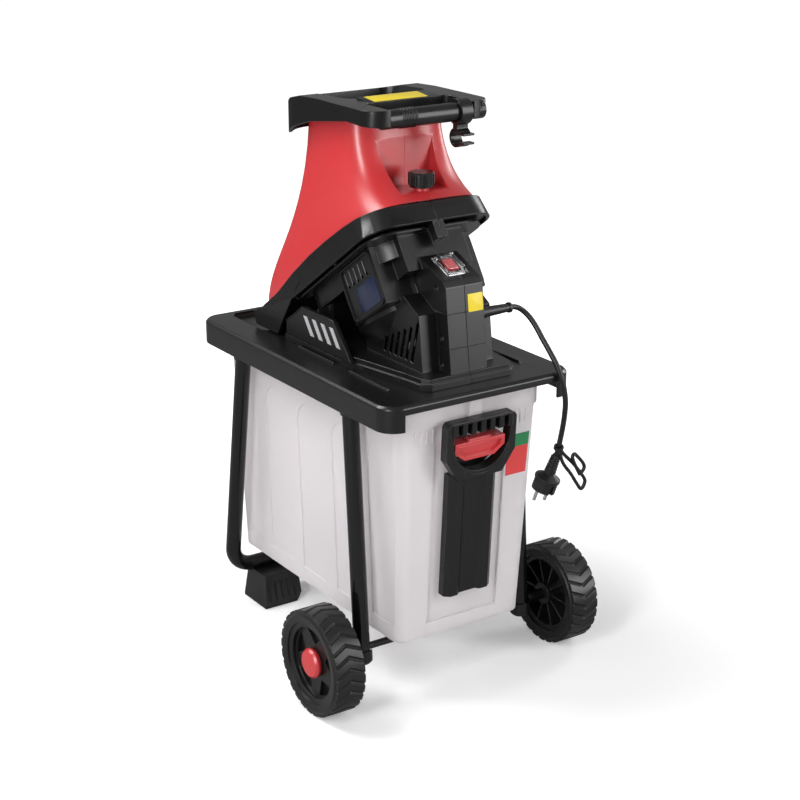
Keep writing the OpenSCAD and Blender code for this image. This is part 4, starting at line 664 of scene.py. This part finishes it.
def switch_front(z):
    """Y of the switch box's front face at a height."""
    return SWITCH_FOOT_Y + SWITCH_LEAN * (z - SWITCH_FOOT_Z) / SWITCH_RISE


loop_paths = []
for z in LINE_HEIGHTS:
    corners = ((-SWITCH_HALF, SWITCH_BACK), (-SWITCH_HALF, switch_front(z)), (SWITCH_HALF, switch_front(z)),
               (SWITCH_HALF, SWITCH_BACK))
    loop_paths.append([Vector((x, y, z)) for x, y in corners])
switch_lines = beads("switch_lines", loop_paths, FINE_LINE, satin_black, "stand")
print("switch box:", switch_lines.name)

# %% Blank yellow patch on the switch box
PATCH = round_rect(0.0045, 0.0785, 0.0285, 0.1025, 0.0012)
PATCH_DEPTH = (-0.0004, 0.0004)
yellow = finish("yellow_sticker", (0.80, 0.62, 0.02), 0.38, grain_scale=1500.0, bump=0.02, dust_and_shade_amount=0.02,
                dust_and_shade_color=(0.8, 0.7, 0.3))
slant = math.hypot(SWITCH_LEAN, SWITCH_RISE)
up_y = SWITCH_LEAN / slant
up_z = SWITCH_RISE / slant
SWITCH_FACE = Matrix(((1, 0, 0, 0), (0, up_y, -up_z, SWITCH_FOOT_Y), (0, up_z, up_y, SWITCH_FOOT_Z),
                      (0, 0, 0, 1)))
patch = bmesh.new()
add_prism(patch, PATCH, *PATCH_DEPTH, SWITCH_FACE)
switch_patch = add_piece("switch_patch", patch, "stand", yellow, edge=0.00015)
print("switch box:", switch_patch.name)

# %% [markdown]
# ## Collar details
#
# In front of the inlet the collar's top rises in a low ramp, and a long blank sticker lies on it. Under
# the bar a row of small dots gives the hand some grip. The dots could be a bump in the material, but
# then their outline would stay flat, so they are one small ball set in a row by the first node group.

# %% Ramp and blank patch
RAMP_LOW = (-0.0695, 0.8058)
RAMP_HIGH = (-0.0370, 0.8090)
RAMP_BACK = (-0.0350, 0.8078)
RAMP_FOOT = 0.8040
RAMP_HALF = 0.056
RAMP_OUTLINE = [(RAMP_LOW[0], RAMP_FOOT), (RAMP_BACK[0], RAMP_FOOT), RAMP_BACK, RAMP_HIGH, RAMP_LOW]
COLLAR_PATCH = round_rect(-0.047, 0.0025, 0.038, 0.0300, 0.0012)
COLLAR_PATCH_DEPTH = (-0.0003, 0.0004)
ACROSS = Matrix(((0, 0, 1, 0), (1, 0, 0, 0), (0, 1, 0, 0), (0, 0, 0, 1)))
ramp = bmesh.new()
add_prism(ramp, RAMP_OUTLINE, -RAMP_HALF, RAMP_HALF, ACROSS)
collar_ramp = add_piece("collar_ramp", ramp, "hopper", satin_black, edge=0.0006)
rise = math.atan2(RAMP_HIGH[1] - RAMP_LOW[1], RAMP_HIGH[0] - RAMP_LOW[0])
RAMP_FACE = Matrix.Translation((0.0, *RAMP_LOW)) @ Matrix.Rotation(rise, 4, "X")
long_patch = bmesh.new()
add_prism(long_patch, COLLAR_PATCH, *COLLAR_PATCH_DEPTH, RAMP_FACE)
collar_patch = add_piece("collar_patch", long_patch, "hopper", yellow, edge=0.00015)
print("collar:", collar_ramp.name, collar_patch.name)

# %% Row of dots under the bar
DOT_RADIUS = 0.0010
DOT_COUNT = 24
DOT_STEP = (0.0031, 0.0, 0.0)
FIRST_DOT = (-0.032, -0.1306, 0.7840)
dot = bmesh.new()
bmesh.ops.create_uvsphere(dot, u_segments=8, v_segments=6, radius=DOT_RADIUS)
bar_dots = row_of("bar_dots", dot, DOT_COUNT, DOT_STEP, satin_black, Matrix.Translation(FIRST_DOT),
                  "hopper")
print("dots:", bar_dots.name)

# %% [markdown]
# ## Pusher and lock details
#
# The pusher's grip has seven round ribs, thin lines follow its loop, and a dark web closes the loop below
# the lock. The lock's tab is ribbed for the thumb, and a raised line frames its finger recess. A grip
# could also be cut into the solid, but as rows and beads the ribs stay easy to count and to move.

# %% Round ribs on the grip
RIB_RADIUS = 0.0043
RIB_LENGTH = (-0.0095, 0.0060)
RIB_COUNT = 7
RIB_STEP = (0.015, 0.0, 0.0)
FIRST_RIB = (-0.045, -0.0257, 0.0)
RIB_EDGE = 0.0006
RIB_ROUND_FROM = 50.0
HALF_TURN = range(0, 181, 20)
half_round = []
for degrees in HALF_TURN:
    a = math.radians(degrees)
    half_round.append((RIB_RADIUS * math.cos(a), RIB_RADIUS * math.sin(a)))
rib = bmesh.new()
add_prism(rib, half_round, *RIB_LENGTH, Matrix.Rotation(math.radians(180.0), 4, "Z"))
rounded(rib, RIB_EDGE, RIB_ROUND_FROM)
grip_ribs = row_of("grip_ribs", rib, RIB_COUNT, RIB_STEP, satin_black,
                   BOX_FRONT @ Matrix.Translation(FIRST_RIB), "pusher")
print("pusher:", grip_ribs.name)

# %% Lines round the loop
LOOP_MIDDLE = -0.020
LOOP_LINE = 0.0515
LOOP_FACE = -0.0260
LOOP_ANGLES = range(196, 345, 4)
CROSS_LINE = (0.0470, LOOP_LINE, 0.0545)
CROSS_ANGLES = (214, 240, 270, 300, 326)


def loop_point(angle, radius):
    """A point on the pusher's front face, round the middle of its loop."""
    a = math.radians(angle)
    return BOX_FRONT @ Vector((radius * math.cos(a), LOOP_FACE, LOOP_MIDDLE + radius * math.sin(a)))


pusher_paths = [[loop_point(angle, LOOP_LINE) for angle in LOOP_ANGLES]]
pusher_paths += [[loop_point(angle, radius) for radius in CROSS_LINE] for angle in CROSS_ANGLES]
loop_lines = beads("loop_lines", pusher_paths, FINE_LINE, satin_black, "pusher")
print("pusher:", loop_lines.name)

# %% Ribs on the lock's tab
TAB_RIB = (0.0014, 0.0122, 0.0036)
TAB_COUNT = 9
TAB_STEP = (0.004, 0.0, 0.0)
FIRST_TAB_RIB = (-0.016, -0.0142, -0.0223)
TAB_EDGE = 0.0003
tab_rib = bmesh.new()
bmesh.ops.create_cube(tab_rib, size=1.0, matrix=Matrix.Diagonal((*TAB_RIB, 1.0)))
rounded(tab_rib, TAB_EDGE, PIECE_ROUND_FROM)
tab_ribs = row_of("tab_ribs", tab_rib, TAB_COUNT, TAB_STEP, red_plastic,
                  BOX_FRONT @ Matrix.Translation(FIRST_TAB_RIB), "box_lock")
print("lock:", tab_ribs.name)

# %% Dark web under the lock
WEB_RADIUS = 0.0480
WEB_TOP = -0.0515
WEB_STEPS = 16
WEB_DEPTH = (0.0030, 0.0060)
BOTTOM = 270.0
web_angle = math.degrees(math.acos((LOOP_MIDDLE - WEB_TOP) / WEB_RADIUS))
web_outline = []
for k in range(WEB_STEPS + 1):
    a = math.radians(BOTTOM - web_angle + 2.0 * web_angle * k / WEB_STEPS)
    web_outline.append((WEB_RADIUS * math.cos(a), LOOP_MIDDLE + WEB_RADIUS * math.sin(a)))
web_mesh = bmesh.new()
add_prism(web_mesh, web_outline, *WEB_DEPTH, BOX_FRONT @ OUTWARD_FRONT)
loop_web = add_piece("loop_web", web_mesh, "pusher", satin_black, edge=0.0004)
print("pusher:", loop_web.name)

# %% Raised line round the lock's finger recess
RECESS_FACE = -0.022
RECESS_BEAD = 0.0008
RECESS = [(-0.035, -0.029), (0.035, -0.029), (0.035, -0.037), (0.021, -0.045), (-0.021, -0.045),
          (-0.035, -0.037), (-0.035, -0.029)]
recess_path = [BOX_FRONT @ Vector((x, RECESS_FACE, z)) for x, z in RECESS]
lock_lines = beads("lock_lines", [recess_path], RECESS_BEAD, red_plastic, "box_lock")
print("lock:", lock_lines.name)

# %% [markdown]
# ## Ribs on the box and the foot
#
# Short upright ribs stiffen the box under its rim, and longer ones run down the face of the stand's foot.
# Both stand in even rows to the left and to the right of the middle. A mirror modifier could make the
# second half; one function that counts outwards on both sides needs no modifier.

# %% Ribs to both sides of the middle
def add_ribs(mesh, first, step, count, half_width, ends, corner, depth, place):
    """Add upright ribs to a wall, counted outwards from its middle on both sides."""
    for side in SIDES:
        for k in range(count):
            x = side * (first + step * k)
            outline = round_rect(x - half_width, ends[0], x + half_width, ends[1], corner)
            add_prism(mesh, outline, *depth, place)


FOOT_LEAN = 0.313
FOOT_RISE = 0.950
FOOT_PLACE = (0.1478, 0.005)
FOOT_FACE = Matrix(((1, 0, 0, 0), (0, FOOT_LEAN, -FOOT_RISE, FOOT_PLACE[0]),
                    (0, FOOT_RISE, FOOT_LEAN, FOOT_PLACE[1]), (0, 0, 0, 1)))
rim_mesh = bmesh.new()
add_ribs(rim_mesh, first=0.063, step=0.0095, count=4, half_width=0.001, ends=(-0.024, -0.004),
         corner=0.0008, depth=(-0.0005, 0.0016), place=BOX_FRONT @ OUTWARD_FRONT)
rim_ribs = add_piece("rim_ribs", rim_mesh, "box", milky, edge=0.0004)
foot_mesh = bmesh.new()
add_ribs(foot_mesh, first=0.057, step=0.011, count=5, half_width=0.0022, ends=(0.004, 0.036),
         corner=0.001, depth=(-0.0006, 0.0014), place=FOOT_FACE)
foot_ribs = add_piece("foot_ribs", foot_mesh, "stand", satin_black, edge=0.0005)
print("ribs:", rim_ribs.name, foot_ribs.name)

# %% [markdown]
# ## The blank sticker on the box
#
# The box carries a blank sticker in green and red. It follows the round corner of the box, so one flat
# plate would stand off the wall. A shrinkwrapped plane could lie on it; narrow strips on the wall's own
# formula give the same sheet without a modifier, and keep its thin edge.

# %% Shape of the box's front wall
BOX_FOOT_Z = 0.088
BOX_HALF = 0.115
BOX_TAPER = 0.010
BOX_CORNER = 0.020
CORNER_TAPER = 0.002


def box_front_point(x, z, lift):
    """A point on the box's front wall, round its corner too."""
    down = (BOX_TOP_Z - z) / (BOX_TOP_Z - BOX_FOOT_Z)
    corner = BOX_CORNER - CORNER_TAPER * down
    flat = BOX_HALF - BOX_TAPER * down - corner
    y = BOX_TOP_Y + (BOX_TOP_Z - z) * math.tan(BOX_LEAN)
    if x > flat:
        y += corner - math.sqrt(max(corner ** 2 - (x - flat) ** 2, 0.0))
    return Vector((x, y - lift, z))


print("box front at its top:", [round(v, 4) for v in box_front_point(0.0, BOX_TOP_Z, 0.0)])

# %% Blank sticker in two colours
STICKER_LEFT = 0.0625
STICKER_RIGHT = 0.1005
STICKER_TOP = 0.364
STICKER_HEIGHT = 0.06
GREEN_FOOT = 0.3455
RED_TOP = 0.3454
RED_FOOT = 0.3045
STICKER_LEAN = 0.0035
STICKER_STRIPS = 14
STICKER_SUNK = -0.0003
STICKER_LIFT = 0.0004
sticker_green = finish("green_sticker", (0.015, 0.22, 0.07), 0.4, bump=0.02, dust_and_shade_amount=0.02,
                       dust_and_shade_color=(0.2, 0.4, 0.25))
sticker_red = finish("red_sticker", (0.70, 0.045, 0.045), 0.4, bump=0.02, dust_and_shade_amount=0.02,
                     dust_and_shade_color=(0.7, 0.3, 0.3))


def sticker(name, z_low, z_high, material):
    """A thin sheet on the box's front wall, with a right edge that leans like the wall's side."""
    section = ((z_low, STICKER_SUNK), (z_low, STICKER_LIFT), (z_high, STICKER_LIFT), (z_high, STICKER_SUNK))
    mesh = bmesh.new()
    columns = []
    for k in range(STICKER_STRIPS + 1):
        column = []
        for z, lift in section:
            x = STICKER_LEFT + (STICKER_RIGHT - STICKER_LEFT) * k / STICKER_STRIPS
            x -= STICKER_LEAN * (STICKER_TOP - z) / STICKER_HEIGHT * k / STICKER_STRIPS
            column.append(mesh.verts.new(box_front_point(x, z, lift)))
        columns.append(column)
    for a, b in zip(columns, columns[1:]):
        for i in range(len(section)):
            j = (i + 1) % len(section)
            mesh.faces.new((a[i], b[i], b[j], a[j]))
    mesh.faces.new(columns[0])
    mesh.faces.new(columns[-1][::-1])
    return add_piece(name, mesh, "box", material, edge=0.0)


green_patch = sticker("green_patch", GREEN_FOOT, STICKER_TOP, sticker_green)
red_patch = sticker("red_patch", RED_FOOT, RED_TOP, sticker_red)
print("sticker:", green_patch.name, red_patch.name)

# %% [markdown]
# ## The power cord
#
# The lead leaves its sleeve on the switch box, bends over the deck's front corner and hangs beside the
# box, where it ends in its plug. The photograph shows it from end to end, so that is its length. A curve
# object with a round bevel is the simplest cord: the points below are the solid's own route, and a
# Catmull-Rom curve through them takes out the corners. The two loops of the cord's tie hang beside the
# plug. They are beads on curves of the same kind, and they go with the cord.

# %% Smooth paths
PATH_STEPS = 4


def smooth_path(points):
    """Points on a Catmull-Rom curve through the given ones."""
    pts = [Vector(p) for p in points]
    ends = [2 * pts[0] - pts[1], *pts, 2 * pts[-1] - pts[-2]]
    path = []
    for a, b, c, d in zip(ends, ends[1:], ends[2:], ends[3:]):
        for k in range(PATH_STEPS):
            t = k / PATH_STEPS
            path.append(0.5 * (2 * b + (c - a) * t + (2 * a - 5 * b + 4 * c - d) * t * t
                               + (3 * b - a - 3 * c + d) * t ** 3))
    return path + [pts[-1]]


print("smooth paths are ready")

# %% Loops of the cord's tie
TIE_RADIUS = 0.0026
LONG_LOOP_Y = -0.232
LONG_LOOP = [
    (0.1480, 0.3310), (0.1575, 0.3188), (0.1734, 0.3028), (0.1894, 0.2833), (0.1968, 0.2706),
    (0.1904, 0.2602), (0.1815, 0.2708), (0.1702, 0.2877), (0.1581, 0.3029), (0.1520, 0.3150),
    (0.1480, 0.3310),
]
SHORT_LOOP_Y = -0.236
SHORT_LOOP = [
    (0.1835, 0.2847), (0.1909, 0.2926), (0.1886, 0.3011), (0.1785, 0.3127), (0.1727, 0.3179),
    (0.1692, 0.3131), (0.1753, 0.2992), (0.1835, 0.2847),
]
tie_paths = [smooth_path([(x, y, z) for x, z in loop])
             for loop, y in ((LONG_LOOP, LONG_LOOP_Y), (SHORT_LOOP, SHORT_LOOP_Y))]
tie_loops = beads("tie_loops", tie_paths, TIE_RADIUS, cord_rubber, "stand")
print("tie:", tie_loops.name)

# %% Cord route and curve
CORD_DIAMETER = 0.0076
CORD_ROUTE = [
    (0.083, -0.198, 0.536), (0.090, -0.198, 0.5355), (0.097, -0.200, 0.533), (0.103, -0.204, 0.528),
    (0.108, -0.211, 0.520), (0.112, -0.219, 0.509), (0.115, -0.229, 0.495), (0.118, -0.241, 0.480),
    (0.121, -0.253, 0.464), (0.124, -0.261, 0.447), (0.127, -0.2644, 0.429), (0.130, -0.2644, 0.411),
    (0.133, -0.260, 0.393), (0.137, -0.253, 0.376), (0.142, -0.244, 0.359), (0.146, -0.236, 0.344),
    (0.148, -0.231, 0.331), (0.148, -0.227, 0.319),
]


def round_bar(name, points, radius, material):
    """A round bar along a list of points, as one open spline."""
    data = bpy.data.curves.new(name, "CURVE")
    data.dimensions = "3D"
    data.bevel_depth = radius
    data.bevel_resolution = 6
    data.use_fill_caps = True
    spline = data.splines.new("POLY")
    spline.points.add(len(points) - 1)
    for point, place in zip(spline.points, points):
        point.co = (*place, 1.0)
    data.materials.append(material)
    return linked(name, data)


cord_path = smooth_path(CORD_ROUTE)
lead = round_bar("power_lead", cord_path, CORD_DIAMETER / 2, cord_rubber)
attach(lead, "stand")
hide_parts("power_cord")

# %% [markdown]
# ## Floor and light
#
# The portrait stands on a white sweep in a studio. Seen directly or through clear plastic, the floor and
# the world are white, so no horizon shows. Close to the machine the floor glows less and the lamps do
# more, so that its soft shadow stays. Reflections show both darker, because black plastic would look grey
# if it mirrored a white room. A white tent round the machine could be the backdrop too, but it would also
# throw light on the machine; asking each ray what it is for leaves the light to the lamps.

# %% White world
WHITE = (1.0, 1.0, 1.0, 1.0)
ROOM_LIGHT = 0.13
BACKDROP_LIGHT = 1.0
BACKDROP_MIRRORED = 0.22


def seen_directly(tree, rays):
    """A value of 1 for rays from the camera and for rays that pass through something clear."""
    return math_node(tree, "MAXIMUM", rays.outputs["Is Camera Ray"], rays.outputs["Is Transmission Ray"])


world = bpy.data.worlds.new("studio")
world.use_nodes = True
scene.world = world
sky_tree = world.node_tree
room = sky_tree.nodes["Background"]
room.inputs["Color"].default_value = WHITE
room.inputs["Strength"].default_value = ROOM_LIGHT
backdrop = sky_tree.nodes.new("ShaderNodeBackground")
backdrop.inputs["Color"].default_value = WHITE
backdrop.inputs["Strength"].default_value = BACKDROP_LIGHT
sky_rays = sky_tree.nodes.new("ShaderNodeLightPath")
mirrored = math_node(sky_tree, "MULTIPLY", sky_rays.outputs["Is Glossy Ray"], BACKDROP_MIRRORED)
shown = math_node(sky_tree, "MAXIMUM", seen_directly(sky_tree, sky_rays), mirrored)
sky_mix = sky_tree.nodes.new("ShaderNodeMixShader")
sky_tree.links.new(shown, sky_mix.inputs["Fac"])
sky_tree.links.new(room.outputs[0], sky_mix.inputs[1])
sky_tree.links.new(backdrop.outputs[0], sky_mix.inputs[2])
sky_tree.links.new(sky_mix.outputs[0], sky_tree.nodes["World Output"].inputs["Surface"])
print("world:", world.name)

# %% Floor and its paint
FLOOR_REACH = 9
FLOOR_DROP = 0.0005
FLOOR_TONE = 0.92
FLOOR_TONE_LOST = 0.55
floor_mesh = bpy.data.meshes.new("studio_floor")
floor_corners = [(-FLOOR_REACH, -FLOOR_REACH, 0), (FLOOR_REACH, -FLOOR_REACH, 0),
                 (FLOOR_REACH, FLOOR_REACH, 0), (-FLOOR_REACH, FLOOR_REACH, 0)]
floor_mesh.from_pydata(floor_corners, [], [(0, 1, 2, 3)])
floor = linked("studio_floor", floor_mesh)
floor.location.z = -FLOOR_DROP
floor_paint = bpy.data.materials.new("floor_paint")
floor_paint.use_nodes = True
floor_tree = floor_paint.node_tree
floor_shader = floor_tree.nodes["Principled BSDF"]
floor_shader.inputs["Roughness"].default_value = 1.0
floor_shader.inputs["Specular IOR Level"].default_value = 0.0
floor_rays = floor_tree.nodes.new("ShaderNodeLightPath")
lost = math_node(floor_tree, "MULTIPLY", floor_rays.outputs["Is Glossy Ray"], -FLOOR_TONE_LOST)
floor_grey = math_node(floor_tree, "ADD", lost, FLOOR_TONE)
floor_tree.links.new(floor_grey, floor_shader.inputs["Base Color"])
floor_mesh.materials.append(floor_paint)
print("floor:", floor.name)

# %% Glow of the floor, low near the machine
GLOW_RANGE = {"From Min": 0.4, "From Max": 1.8, "To Min": 0.20, "To Max": 0.90}
floor_place = floor_tree.nodes.new("ShaderNodeTexCoord")
floor_distance = floor_tree.nodes.new("ShaderNodeVectorMath")
floor_distance.operation = "LENGTH"
floor_tree.links.new(floor_place.outputs["Object"], floor_distance.inputs[0])
floor_rise = floor_tree.nodes.new("ShaderNodeMapRange")
for label, value in GLOW_RANGE.items():
    floor_rise.inputs[label].default_value = value
floor_tree.links.new(floor_distance.outputs["Value"], floor_rise.inputs["Value"])
floor_seen = seen_directly(floor_tree, floor_rays)
floor_glow = math_node(floor_tree, "MULTIPLY", floor_seen, floor_rise.outputs["Result"])
floor_shader.inputs["Emission Color"].default_value = WHITE
floor_tree.links.new(floor_glow, floor_shader.inputs["Emission Strength"])
print("floor glow:", GLOW_RANGE)

# %% Soft boxes
MIDDLE = (0.0, 0.0, 0.45)
FACE = (0.0, -0.1, 0.55)
SHOULDERS = (0.0, 0.0, 0.65)


def soft_box(name, place, aim, width, height, watts):
    """An area lamp that points at a place."""
    data = bpy.data.lights.new(name, "AREA")
    data.shape = "RECTANGLE"
    data.size = width
    data.size_y = height
    data.energy = watts
    lamp = linked(name, data)
    lamp.location = place
    lamp.rotation_euler = (Vector(aim) - Vector(place)).to_track_quat("-Z", "Y").to_euler()


soft_box("left_lamp", (-2.2, -1.3, 1.5), MIDDLE, width=0.6, height=2.2, watts=50.0)
soft_box("front_lamp", (1.65, -2.4, 1.35), FACE, width=1.0, height=2.1, watts=46.0)
soft_box("right_lamp", (2.3, 0.2, 1.3), MIDDLE, width=0.6, height=1.6, watts=20.0)
soft_box("top_lamp", (-1.3, 1.2, 2.5), SHOULDERS, width=1.4, height=1.4, watts=56.0)
